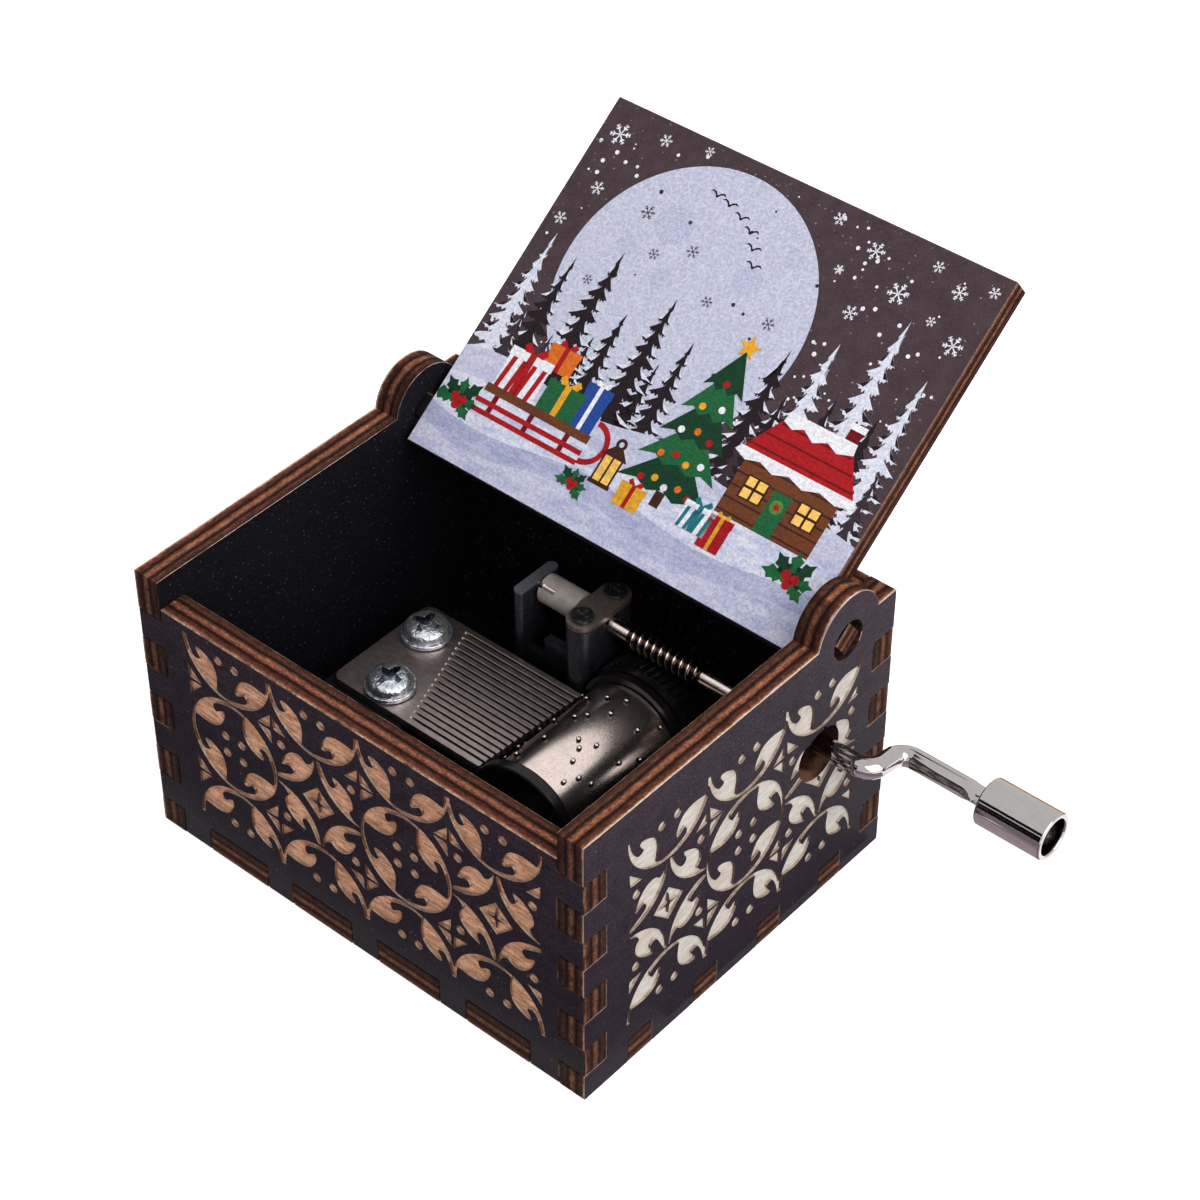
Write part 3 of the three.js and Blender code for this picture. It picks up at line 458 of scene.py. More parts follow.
def engravedFinish(name, light, dark, warm, burnt, warmth, char, squeeze):
    finish = newFinish(name, 0.06)
    streak = finish.noise(1, 4, 0.65, squeeze)
    fine = finish.noise(3.2, 4, 0.75)
    patch = finish.noise(0.28, 2)
    colour = finish.layered(light, (streak, 0.35, 0.68, 1, dark), (patch, 0.5, 0.68, warmth, warm),
                            (fine, 0.5, 0.72, char, burnt))
    finish.dress(colour, fine * 0.2 + 0.7, fine + streak, 0.04, 0.6)


for name, look in paints.items():
    paintFinish(name, look)
for name, look in engravings.items():
    engravedFinish(name, *look)

# The four walls, each with its place and the kinds of cell in its middle row; a hole has a place and a radius
plywood = 3.5
wallBevel = 0.11
hingeHole = [(17.2, 36.45), 2.45]
crankHole = [(13.5, 22.289), 3.55]
longWall = {
    "columns": [(-18.64, "ring"), (-5.72, "star"), (7.2, "ring"), (20.08, "star")],
    "corners": [-25.1, -12.2, 0.74, 13.62, 26.5],
    "rim": 33, "holes": [], "wornLitRimShare": 0.2,
    "carving": ["engraved_tan", "engraved_sides", "soft_arris"],
}
shortWall = {
    "columns": [(-12.2, "star"), (0.7, "ring"), (13.6, "star")],
    "corners": [-18.65, -5.75, 7.15, 20.05],
    "rim": 35, "holes": [hingeHole], "wornLitRimShare": 0.9,
    "carving": ["engraved_cream", "pale_engraved_sides", "worn_arris"],
}
walls = {
    "front_wall": dict(longWall, origin=(0, -25.6, 0), right=xAxis),
    "back_wall": dict(longWall, origin=(0, 25.6, 0), right=-xAxis),
    "right_wall": dict(shortWall, origin=(32.2, 0, 0), right=yAxis, holes=[hingeHole, crankHole]),
    "left_wall": dict(shortWall, origin=(-32.2, 0, 0), right=-yAxis),
}
wallParts = ["outside", "inside", "top edge", "end edge", "floor", "side", "lit_arris", "seam", "lit_sill"]


# What a face of a wall shows, from its depth and the way that it faces
def wallPart(face, depth, outward, wall):
    facing, upward = face.normal.dot(outward), face.normal.z
    atRim = face.center.z / mm > wall["rim"]
    if facing > 0.99:
        return "outside" if depth < 0.05 else "floor"
    if facing < -0.99:
        return "inside"
    # Pocket walls that face up get a pale painted highlight, the others a darker painted shade
    if abs(facing) < 0.1 and depth < ornament["depth"] + 0.01:
        return "lit_sill" if upward > 0.35 else "side"
    if abs(facing) > 0.3:
        # Bevels along the top rim that face up are pale, worn bare wood and a painted highlight; the other
        # bevels are dark seams
        return "lit_arris" if upward > 0.1 and atRim else "seam"
    # Hole bores are dark seams: laser char, with painted shade inside the holes
    if any(math.dist(middle, face.center.yz / mm) - radius < 0.1 for middle, radius in wall["holes"]):
        return "seam"
    return "top edge" if upward > 0.95 and atRim else "end edge"


for node, wall in walls.items():
    piece = copyOfNode(node, node + "_engraved")
    bevelEdges(piece, wallBevel, 1, 40)
    for outlines in ornamentSets(wall["columns"], wall["corners"]):
        carve(piece, outlines, surfaceFrame(wall["origin"], wall["right"], zAxis))
    outward = wall["right"].cross(zAxis)
    edges = [piece.name + "_top_edge", piece.name + "_end_edge"]
    # End edges take more scorch and less pale rim than top edges: laser char, with painted shade on the faces
    # that don't face up
    plyFinish(edges[0], outward, wall["origin"], plywood, 0, wall["wornLitRimShare"])
    plyFinish(edges[1], outward, wall["origin"], plywood, 0.4, wall["wornLitRimShare"] * 0.6)
    place(piece, node, *paints, *edges, *wall["carving"], "burnt_seam", "engraved_sills")
    depths = [-(corner.co / mm - Vector(wall["origin"])).dot(outward) for corner in piece.data.vertices]
    for face in piece.data.polygons:
        depth = max(depths[corner] for corner in face.vertices)
        face.material_index = wallParts.index(wallPart(face, depth, outward, wall))
    print("wall carved:", node, len(piece.data.polygons), "faces")

# The panel under the movement
bottomPanel = {"bevel": 0.08, "thickness": 3.4, "darkness": 0.25, "wornLitRimShare": 0.15}

piece = copyOfNode("bottom_panel", "bottom_panel_cut")
bevelEdges(piece, bottomPanel["bevel"], 1, 40)
plyFinish("bottom_panel_edge", -zAxis, (0, 0, 0), bottomPanel["thickness"], bottomPanel["darkness"],
          bottomPanel["wornLitRimShare"])
place(piece, "bottom_panel", *paints, "bottom_panel_edge")
for face in piece.data.polygons:
    face.material_index = 0 if face.normal.z < -0.9 else 1 if face.normal.z > 0.9 else 2
print("bottom panel done")

# The lid, measured in its own plane from the hinge's axis
lid = {
    "hinge": Vector((0, 17.2, 36.45)),
    "openAngle": math.radians(36.8699),
    "thickness": 3,
    "bevel": 0.1,
    "high": 42.4,
    "halfWidth": 28.1,
    "darkness": 0.25,
    "wornLitRimShare": 0.15,
}
lidUp = Vector((0, math.cos(lid["openAngle"]), math.sin(lid["openAngle"])))
lidOut = xAxis.cross(lidUp)
lidFace = lid["hinge"] + lidOut * lid["thickness"] / 2

# The printed picture: a winter night, in layers of ink on the lid's inner face
ink = {
    "moon": (199, 202, 219), "moonShade": (190, 195, 215), "dark": (34, 25, 30), "darkSoft": (58, 46, 54),
    "frost": (218, 221, 233), "snow": (202, 204, 221), "snowLight": (218, 220, 232),
    "snowShade": (184, 188, 211), "white": (234, 235, 240), "red": (172, 28, 34), "redDark": (112, 18, 26),
    "green": (34, 98, 58), "greenDark": (20, 60, 38), "greenLight": (86, 138, 62), "gold": (228, 170, 46),
    "amber": (250, 206, 106), "brown": (110, 62, 38), "brownDark": (62, 36, 27), "orange": (216, 112, 40),
    "blue": (40, 74, 150), "teal": (36, 120, 128),
}
printLayer = {"step": 0.005, "sunk": 0.006, "margin": 0.15, "finest": 0.002}
dice = random.Random(7)
shapes = []


# An outline is kept inside the lid's edges
def draw(outline, colour, level):
    side, top = lid["halfWidth"] - printLayer["margin"], lid["high"] - printLayer["margin"]
    kept = []
    for x, y in outline:
        point = (max(-side, min(side, x)), min(top, y))
        if not kept or math.dist(kept[-1], point) > printLayer["finest"]:
            kept.append(point)
    if math.dist(kept[0], kept[-1]) < printLayer["finest"]:
        kept.pop()
    shapes.append((kept, colour, level))


# Draws an outline that is given at size 1, at a place, a size and a turn in degrees
def stamp(outline, x, y, size, colour, level, turn=0):
    c, s = math.cos(math.radians(turn)), math.sin(math.radians(turn))
    draw([(x + size * (a * c - b * s), y + size * (a * s + b * c)) for a, b in outline], colour, level)


def disc(x, y, radius, colour, level, steps, squash=1):
    turns = [2 * math.pi * i / steps for i in range(steps)]
    stamp([(math.cos(t), squash * math.sin(t)) for t in turns], x, y, radius, colour, level)


def panel(x, y, width, height, colour, level):
    side = width / 2
    draw([(x - side, y), (x + side, y), (x + side, y + height), (x - side, y + height)], colour, level)


# Panels of a motif at size 1: middle, foot, width, height, colour and level
def panels(x, y, size, level, rows):
    for a, b, width, height, colour, rise in rows:
        panel(x + a * size, y + b * size, width * size, height * size, colour, level + rise)


# A fir with needles under its boughs, from its top down the right side and up the left
def fir(x, foot, height, width, tiers, colour, trim, level):
    sides = []
    gap = height / tiers
    for side in (1, -1):
        points = []
        for tier in range(tiers):
            reach = side * width / 2 * ((tier + 0.6) / tiers) ** 0.8 * dice.uniform(0.7, 1.12)
            high = foot + height - tier * gap
            droop = dice.uniform(0.75, 1.05)
            bough = [(0.2, 0.15), (0.6, droop * 0.62), (1, droop), (0.8, droop * 1.02), (0.72, droop + 0.2),
                     (0.52, 0.98), (0.42, 1.2), (0.28, 0.92)]
            points += [(x + reach * a, high - gap * b) for a, b in bough]
            if dice.random() < 0.55:
                snow = [(0.22, 0.2), (0.6, droop * 0.62), (0.96, droop * 0.98), (0.7, droop * 0.92),
                        (0.5, 0.84), (0.38, 0.62)]
                draw([(x + reach * a, high - gap * b) for a, b in snow], trim, level + 1)
        sides.append(points)
    trunk = [(0.05, 0.01), (0.04, 0.07), (-0.04, 0.07), (-0.05, 0.01)]
    points = [(x + width * a, foot - height * b) for a, b in trunk]
    draw([(x, foot + height * 1.02), *sides[0], *points, *reversed(sides[1])], colour, level)


def snowDrift(heights, colour, level):
    left, bottom = 0.12 - lid["halfWidth"], -4.3
    points = [(left * (1 - 2 * i / (len(heights) - 1)), height) for i, height in enumerate(heights)]
    draw([(left, bottom), (-left, bottom), *reversed(curveThrough(points, 5) + [points[-1]])], colour, level)


def flake(x, y, size, colour, level):
    arm = [(0, 0), (0.5, 0), (0.68, 0.2), (0.76, 0.14), (0.66, 0), (0.8, 0), (0.93, 0.13), (1, 0.08),
           (0.92, 0)]
    outline = [(a, 0.055 + b) for a, b in arm] + [(1.04, 0)] + [(a, -0.055 - b) for a, b in reversed(arm)]
    for turn in range(15, 360, 60):
        stamp(outline, x, y, size, colour, level, turn)


def hollySprig(x, y, size, level):
    edge = [(0.18, 0.16), (0.26, 0.1), (0.42, 0.26), (0.52, 0.16), (0.7, 0.24), (0.78, 0.1)]
    leaf = [(0, 0), *edge, (1, 0), *((a, -b) for a, b in reversed(edge))]
    for turn in (5, 52, 95, 140, 181, 325):
        colour = "green" if turn % 2 else "greenDark"
        stamp(leaf, x, y, size * dice.uniform(0.85, 1.1), colour, level, turn)
    for a, b in ((-0.16, 0.1), (0.18, 0.06), (0.02, -0.16)):
        disc(x + a * size, y + b * size, size * 0.17, "red", level + 1, 14)


# White parcels have stripes
def parcel(x, y, width, height, paper, band, level):
    panel(x, y, width, height, paper, level)
    for i in range(4 if paper == "white" else 0):
        stripe = [(0, 0), (1 / 9, 0), (1 / 9 + 0.08, height / width), (0.08, height / width)]
        stamp(stripe, x + width * ((i + 0.15) / 4 - 0.5), y, width, band, level + 1)
    panel(x, y, width * 0.16, height, band, level + 1)
    panel(x, y + height * 0.78, width * 1.06, height * 0.22, paper, level + 2)
    panel(x, y + height * 0.78, width * 0.16, height * 0.22, band, level + 3)
    for side in (-1, 1):
        bow = [(0, 0), (side * 0.2, 0.2), (side * 0.3, 0.1), (side * 0.22, -0.02)]
        stamp(bow, x, y + height, width, band, level + 3)


def cottage(x, y, size, level):
    roof = [(-0.62, 0.56), (0.62, 0.56), (0.34, 1.02), (-0.34, 1.02)]
    ridge = [(-0.37, 0.96), (-0.26, 0.92), (-0.16, 0.97), (-0.03, 0.9), (0.1, 0.96), (0.22, 0.91),
             (0.37, 0.96), (0.35, 1.06), (-0.35, 1.06)]
    icing = [(-0.64, 0.56), (-0.5, 0.51), (-0.36, 0.55), (-0.2, 0.5), (-0.05, 0.55), (0.12, 0.5),
             (0.28, 0.55), (0.46, 0.51), (0.64, 0.56), (0.6, 0.62), (-0.6, 0.62)]
    boards = [(0, 0.03 + row * 0.12, 1, 0.018, "brownDark", 1) for row in range(5)]
    chimney = [(0.28, 0.76, 0.13, 0.42, "redDark", 0), (0.28, 1.16, 0.17, 0.06, "white", 1)]
    tiles = [(0, 0.66 + row * 0.13, 1.1 - row * 0.18, 0.02, "redDark", 3) for row in range(3)]
    panels(x, y, size, level, [(0, 0, 1, 0.62, "brown", 0), *boards, *chimney])
    stamp(roof, x, y, size, "red", level + 2)
    panels(x, y, size, level, tiles)
    stamp(ridge, x, y, size, "white", level + 4)
    stamp(icing, x, y, size, "white", level + 4)
    for a in (-0.27, 0.29):
        panels(x + a * size, y, size, level, [
            (0, 0.2, 0.24, 0.22, "brownDark", 2), (0, 0.215, 0.2, 0.19, "amber", 3),
            (0, 0.2, 0.025, 0.22, "brownDark", 4), (0, 0.3, 0.22, 0.025, "brownDark", 4)])
    panel(x, y, size * 0.19, size * 0.4, "green", level + 2)
    disc(x, y + size * 0.27, size * 0.065, "greenLight", level + 3, 14)
    disc(x, y + size * 0.27, size * 0.03, "red", level + 4, 12)


def trimmedFir(x, y, height, width, level):
    tiers = 5
    panel(x, y - height * 0.08, width * 0.1, height * 0.1, "brownDark", level)
    for tier in range(tiers):
        share = (tier + 1) / tiers
        low = y + height * (1 - share) * 0.9
        half = width / 2 * (0.3 + 0.7 * share)
        top = min(0.34, (y + height - low) / height)
        scallop = [(-1, 0), (-0.6, 0.03), (-0.3, -0.01), (0, 0.03), (0.3, -0.01), (0.6, 0.03), (1, 0),
                   (0, top)]
        colour = "green" if tier % 2 else "greenDark"
        draw([(x + half * a, low + height * b) for a, b in scallop], colour, level + 5 - tier)
        for i in range(tier + 1):
            across = half * (1.32 * (i + 0.5) / (tier + 1) - 0.66)
            bauble = ("red", "gold", "white", "orange")[(tier + i) % 4]
            disc(x + across, low + height * (0.05 + 0.03 * (i % 2)), width * 0.035, bauble, level + 7, 12)
    tips, dents = arcPoints((0, 0), 1, 90, 450, 5), arcPoints((0, 0), 0.42, 126, 486, 5)
    star = [point for pair in zip(tips[:5], dents) for point in pair]
    stamp(star, x, y + height * 1.03, width * 0.12, "gold", level + 8)


def sledge(x, y, size, level):
    curl = arcPoints((0.42, 0.2), 0.16, -90, 90, 12) + arcPoints((0.42, 0.2), 0.12, 90, -90, 12)
    panels(x, y, size, level, [(-0.04, lift - 0.0175, 0.92, 0.035, "red", 1) for lift in (0.04, 0.11)])
    stamp(curl, x, y, size, "red", level + 1)
    panels(x, y, size, level, [(a, 0.05, 0.04, 0.14, "redDark", 0) for a in (-0.36, -0.05, 0.26)])
    panels(x, y, size, level, [(-0.03, 0.18, 0.9, 0.06, "brown", 2)])
    for a, b, width, height, paper, band, rise in (
            (-0.28, 0.24, 0.34, 0.3, "white", "red", 2), (0.08, 0.24, 0.3, 0.22, "green", "gold", 2),
            (0.3, 0.24, 0.2, 0.32, "blue", "white", 1), (-0.08, 0.5, 0.24, 0.18, "orange", "red", 1)):
        parcel(x + a * size, y + b * size, width * size, height * size, paper, band, level + rise)


def lantern(x, y, size, level):
    bars = [(a, 0.04, 0.035, 0.48, "brownDark", 2) for a in (-0.17, 0, 0.17)]
    glass = (0, 0.06, 0.34, 0.44, "amber", 0)
    panels(x, y, size, level, [(0, 0, 0.42, 0.07, "brownDark", 1), glass, *bars])
    stamp([(-0.25, 0.5), (0.25, 0.5), (0.08, 0.68), (-0.08, 0.68)], x, y, size, "brownDark", level + 1)
    disc(x, y + size * 0.74, size * 0.1, "brownDark", level, 16)
    disc(x, y + size * 0.74, size * 0.045, "snow", level + 1, 16)


# Where the motifs stand, in millimetres from the hinge's middle
moon = {"x": -6.6, "y": 24.2, "radius": 16.4}
craters = [(-12.5, 31.6, 2.6), (-0.6, 29.6, 1.9), (-10.4, 25.4, 1.5), (3.2, 34.2, 1.2), (-16.6, 27.2, 1.4)]
# Colour, trim and level of each row of firs, then for each fir its place, foot, height, width and boughs
firRows = [
    ("dark", "frost", 3, [
        (-21.4, 8, 15, 7.6, 11), (-16.2, 8.5, 17.5, 8.4, 12), (-11.6, 8, 12, 6.4, 9),
        (-7, 8.5, 15.5, 7.8, 11), (-2.2, 8, 12.5, 6.6, 9), (8.8, 8.2, 16.5, 8.2, 11),
        (-13.8, 8, 8, 5, 7), (-4.6, 8, 8.6, 5.2, 7)]),
    ("frost", "dark", 5, [
        (-25.4, 7, 17.5, 7, 12), (25, 8, 20, 8, 13), (19.6, 9, 24, 9, 14),
        (13.6, 9, 18.5, 8.2, 12)]),
    ("dark", "frost", 7, [
        (22.4, 7, 15, 6.6, 10), (16.8, 8, 14, 6.4, 9), (11.4, 8, 12, 6, 9)]),
    ("darkSoft", "frost", 9, [
        (-23.4, 6, 9.5, 5, 8), (26, 6, 11, 5.2, 8), (9.8, 6, 8, 4.6, 7),
        (-18.6, 7, 7, 4.2, 6)]),
]
drifts = [
    ([8.6, 9.4, 8.8, 7.8, 8.2, 9.2, 8.8, 8, 8.8, 9.4, 8.8], "snow"),
    ([5.2, 6, 6.4, 5.6, 4.6, 4.4, 5.2, 6.2, 6.6, 5.8, 5], "snowLight"),
    ([1, 0.4, 0.6, 1.4, 2, 1.6, 0.8, 0.4, 0.8, 1.6, 2], "snowShade"),
    ([-1.2, -2.2, -2, -0.8, -0.4, -1, -1.8, -2.2, -1.6, -0.6, -0.4], "snow"),
]
wing = [(-0.5, 0.1), (-0.34, 0.24), (-0.16, 0.18), (0, 0.02), (0.16, 0.18), (0.34, 0.24), (0.5, 0.1),
        (0.3, 0.14), (0.14, 0.05), (0.05, -0.1), (-0.05, -0.1), (-0.14, 0.05), (-0.3, 0.14)]
birds = [(-3.5, 34.6), (-5.5, 35.6), (-7.7, 36.4), (-2.1, 33), (-0.9, 31.2), (-9.7, 36.8)]
skyFlakes = [
    (-25.2, 38.4, 1.35), (-24, 31.6, 0.85), (-19.4, 40, 0.8), (11.4, 38.8, 1.1), (16.4, 35.6, 1.3),
    (22.8, 38.6, 0.95), (25.4, 33, 1.2), (12.6, 31.4, 0.9), (5.4, 40.4, 0.8), (-13.6, 41, 0.6),
    (19, 40.2, 0.7), (-26.2, 26.6, 0.8), (26.4, 40.2, 0.7), (8.6, 35.2, 0.6), (21.6, 34.4, 0.6)]
moonFlakes = [
    (-16.4, 31.6, 0.9), (-8.6, 29.8, 0.8), (-3.6, 25.4, 0.7), (-12.8, 27.6, 0.7), (-18.6, 21.6, 0.65),
    (4.6, 26.2, 0.8)]

disc(moon["x"], moon["y"], moon["radius"], "moon", 1, 80)
for x, y, radius in craters:
    disc(x, y, radius, "moonShade", 2, 24, 0.9)
for colour, trim, level, firs in firRows:
    for row in firs:
        fir(*row, colour, trim, level)
for level, (heights, colour) in enumerate(drifts, 11):
    snowDrift(heights, colour, level)
cottage(17.4, 5.2, 12.8, 14)
trimmedFir(4.2, 3.8, 18.6, 12.4, 15)
sledge(-14.4, 1.8, 17.2, 15)
lantern(-3.2, 1.4, 7.2, 15)
parcel(9.6, 1.8, 4, 3.2, "white", "teal", 24)
parcel(12.6, 0.9, 3, 4, "red", "gold", 24)
parcel(1, 0.6, 3.4, 2.8, "gold", "red", 24)
hollySprig(-25, 2.4, 3.4, 16)
hollySprig(23.2, 2.4, 3.5, 16)
hollySprig(-6.2, 0.2, 2.3, 24)
for x, y in birds:
    stamp(wing, x, y, 2.3, "dark", 3)
for row in skyFlakes:
    flake(*row, "white", 2)
for row in moonFlakes:
    flake(*row, "darkSoft", 3)
for _ in range(170):
    x, y = dice.uniform(-27.4, 27.4), dice.uniform(12, 41.4)
    radius = dice.uniform(0.1, 0.3)
    onMoon = math.hypot(x - moon["x"], y - moon["y"]) < moon["radius"] + 0.3
    if not onMoon or dice.random() < 0.2:
        disc(x, y, radius, "darkSoft" if onMoon else "white", 2, 8)


# Print grain: the inks vary a little from spot to spot, the pale ones most
def printedInk():
    finish = newFinish("printed_ink", 0.12)
    colour = finish.node("ShaderNodeAttribute", output="Color", attribute_name="ink")
    coarse = finish.noise(2.6, 4, 0.8).between(0.4, 0.6)
    fine = finish.noise(5, 2, 0.7).between(0.36, 0.64)
    cloud = finish.noise(1, 3, 0.6, (0.25, 0.9, 0.9)).between(0.42, 0.66)
    ground = 1 - finish.along(lidUp, lid["hinge"]).between(5, 10)
    worn = finish.mix(coarse * 0.36, colour, (136, 138, 164), "MULTIPLY")
    shaded = finish.mix(cloud * ground * 0.4, worn, (160, 176, 222), "MULTIPLY")
    printed = finish.mix(fine * 0.5, shaded, (150, 150, 152), "OVERLAY")
    finish.dress(printed, coarse * 0.2 + 0.55, coarse + fine, 0.03, 0.6)


# The bare sky's ink; the pegs beyond the picture are stained
def printedSky():
    finish = newFinish("printed_sky", 0.14)
    fine = finish.noise(6, 3, 0.7).between(0.36, 0.66)
    printed = finish.layered(
        (48, 36, 41), (finish.noise(0.6, 3, 0.6), 0.35, 0.65, 1, (60, 47, 52)),
        (fine, 0, 1, 0.5, (84, 70, 76)), (finish.noise(2.4, 1), 0.74, 0.77, 0.6, (170, 166, 178)))
    across = finish.along(xAxis)
    peg = (across > lid["halfWidth"]) + (across < -lid["halfWidth"])
    finish.dress(finish.mix(peg, printed, (12, 9, 11)), fine * 0.2 + 0.5, fine, 0.03, 0.6)


printedInk()
printedSky()
plyFinish("lid_edge", lidOut, lidFace, lid["thickness"], lid["darkness"], lid["wornLitRimShare"])
piece = copyOfNode("lid", "lid_printed")
bevelEdges(piece, lid["bevel"], 1, 40)
place(piece, "lid", "printed_sky", "stained_plywood", "lid_edge", "stained_plywood_inside")
for face in piece.data.polygons:
    side = face.normal.dot(lidOut)
    foot = face.normal.dot(lidUp) < -0.5
    face.material_index = 0 if side > 0.9 else 1 if side < -0.9 else 3 if foot else 2
shell = bmesh.new()
layer = shell.loops.layers.float_color.new("ink")
pictureFrame = surfaceFrame(lidFace, xAxis, lidUp)
for outline, colour, level in shapes:
    for face in addSlab(shell, outline, -printLayer["sunk"], level * printLayer["step"], pictureFrame):
        for loop in face.loops:
            loop[layer] = tone(ink[colour])
picture = pieceFromShell("lid_picture", shell)
place(picture, "lid", "printed_ink", replace=False)
print("picture printed:", len(shapes), "shapes,", len(picture.data.polygons), "faces")
print("lid done")

# The movement's metals: low, high and worn shades, roughness, metal, relief and how the brushing is squeezed
metals = {
    "ground_steel": [(146, 133, 130), (186, 171, 167), (114, 101, 97), 0.34, 1, 0.01, (0.6, 5, 5)],
    "cut_steel": [(240, 228, 216), (255, 250, 244), (214, 198, 184), 0.4, 0.2, 0.01, (3, 3, 3)],
    "satin_nickel": [(224, 205, 197), (247, 231, 224), (198, 179, 170), 0.19, 1, 0.012, (5, 5, 5)],
    "bright_zinc": [(156, 163, 177), (246, 249, 253), (84, 90, 106), 0.16, 0.9, 0.28, (1.6, 1.6, 1.6)],
    "shaded_zinc": [(78, 83, 93), (166, 172, 182), (36, 40, 48), 0.2, 1, 0.1, (2, 2, 2)],
    "pin_steel": [(196, 180, 170), (240, 228, 220), (150, 134, 126), 0.12, 1, 0.004, (6, 6, 6)],
    "dull_steel": [(124, 112, 108), (160, 146, 140), (84, 74, 70), 0.42, 0.8, 0.012, (3, 3, 3)],
    "polished_chrome": [(172, 168, 166), (180, 176, 174), (164, 160, 158), 0.05, 1, 0.0001, (0.5, 4, 4)],
    "black_casting": [(52, 53, 62), (78, 79, 90), (104, 105, 116), 0.27, 0.65, 0.035, (3, 3, 3)],
    "blued_steel": [(70, 69, 74), (112, 110, 116), (48, 46, 50), 0.26, 0.9, 0.02, (3, 3, 3)],
}
metals["wound_nickel"] = metals["satin_nickel"]
# The plastics: low and high shades, roughness and gloss
plastics = {
    "black_plastic": [(5, 5, 7), (11, 11, 14), 0.24, 0.32],
    "grey_plastic": [(150, 142, 138), (174, 166, 162), 0.42, 0.4],
}
# Darker low down and greyer at the top; a painted highlight along the top of the left post
castingTones = {"darkTone": (22, 23, 30), "darkToneTop": 13.5, "greyFrom": 21, "bare": (150, 151, 162),
                "postTop": 23.3, "postSide": -9}
# Painted shade between the worm's thread turns and round the feet of the barrel's pins
threadRootShade = {"darkTone": (66, 46, 38), "start": 4.2, "end": 14.8, "root": 1.02, "crest": 1.4,
               "centre": (0, 14.75, 22.28944), "axis": xAxis}
pinRootShade = {"darkTone": (26, 20, 18), "start": -8, "end": 11, "root": 6.72, "crest": 6.86,
             "centre": (8.4952, 0, 13.4), "axis": yAxis}


def metalFinish(name, low, high, worn, rough, metal, relief, squeeze):
    finish = newFinish(name)
    brushed = finish.noise(1, 3, 0.6, squeeze)
    mottle = finish.noise(0.7, 3, 0.6)
    colour = finish.layered(low, (brushed, 0.3, 0.7, 1, high), (mottle, 0.52, 0.72, 0.35, worn))
    finish.set("Metallic", metal)
    finish.dress(colour, brushed * 0.1 + mottle * 0.06 + (rough - 0.06), brushed, relief, 0.5)
    return finish, colour


# The casting is black, darker low down and greyer at its top, with a painted highlight along the top of the
# left post
def toneCasting(finish, grey, look):
    level = finish.along(zAxis)
    onPost = finish.along(xAxis) < look["postSide"]
    # Painted highlight on the top of the left post
    bare = level.between(look["postTop"] - 0.3, look["postTop"]) * onPost
    cast = finish.mix(level.between(look["darkToneTop"], look["greyFrom"]), look["darkTone"], grey)
    finish.set("Base Color", finish.mix(bare * 0.8, cast, look["bare"]))


# Plated metal round an axis, with painted shade close to the root and bright at the crest
def shadeRoots(finish, plated, look):
    moved = finish.vector("SUBTRACT", finish.spot(), look["centre"])
    across = finish.vector("CROSS_PRODUCT", moved, look["axis"])
    radius = finish.vector("LENGTH", across, output="Value")
    along = finish.along(look["axis"])
    inReach = (along > look["start"]) * (along < look["end"])
    groove = (1 - radius.between(look["root"], look["crest"])) * inReach
    finish.set("Base Color", finish.mix(groove, plated, look["darkTone"]))


def plasticFinish(name, low, high, rough, gloss):
    finish = newFinish(name, gloss)
    mottle = finish.noise(0.8, 3, 0.6)
    fine = finish.noise(8, 2)
    finish.dress(finish.mix(mottle.between(0.3, 0.7), low, high), fine * 0.12 + rough, fine, 0.006, 0.4)


metal = {name: metalFinish(name, *look) for name, look in metals.items()}
toneCasting(*metal["black_casting"], castingTones)
shadeRoots(*metal["wound_nickel"], threadRootShade)
shadeRoots(*metal["pin_steel"], pinRootShade)
for name, look in plastics.items():
    plasticFinish(name, *look)

# Pieces that keep their CAD shape: the width and segments of their rounded edges, and their finishes
dressed = {
    "movement_frame": (0.2, 2, "black_casting"),
    "comb": (0.03, 1, "ground_steel", "cut_steel"),
    "bearing_strap": (0.12, 2, "dull_steel"),
    **dict.fromkeys(["strap_screw_front", "strap_screw_back"], (0.05, 2, "blued_steel")),
    **dict.fromkeys(["base_screw_1", "base_screw_2", "base_screw_3"], (0.06, 2, "bright_zinc")),
    "cylinder_front_cap": (0.08, 2, "black_plastic"),
    "worm_wheel": (0.035, 1, "black_plastic"),
    "cylinder_arbor": (0.08, 2, "dull_steel"),
    "spacer_sleeve": (0.08, 2, "grey_plastic"),
}
combSlotEnds = -1

for node, (width, segments, *names) in dressed.items():
    piece = copyOfNode(node, node + "_finished")
    bevelEdges(piece, width, segments, 35)
    smoothSides(piece, 40)
    place(piece, node, *names)
    # The faces at the closed ends of the comb's slots get a pale painted highlight
    for face in piece.data.polygons if node == "comb" else ():
        face.material_index = 1 if face.normal.x > 0.5 and face.center.x < combSlotEnds * mm else 0
print("movement dressed:", len(dressed), "pieces")


# A turned piece: an outline in (radius, place along the axis), spun round the axis
def turnedPiece(name, profile, centre, axis, steps):
    middle = Vector(centre)
    side = xAxis if axis == zAxis else zAxis
    points = [(middle + axis * along + side * radius) * mm for radius, along in profile]
    edges = [(i, i + 1) for i in range(len(points) - 1)]
    if profile[0][0] > 0:
        edges.append((len(points) - 1, 0))
    piece = pieceFromPoints(name, points, edges, [])
    openMesh(piece)
    bpy.ops.mesh.spin(steps=steps, angle=2 * math.pi, center=middle * mm, axis=axis)
    bpy.ops.object.mode_set(mode="OBJECT")
    closeUp(piece)
    return piece


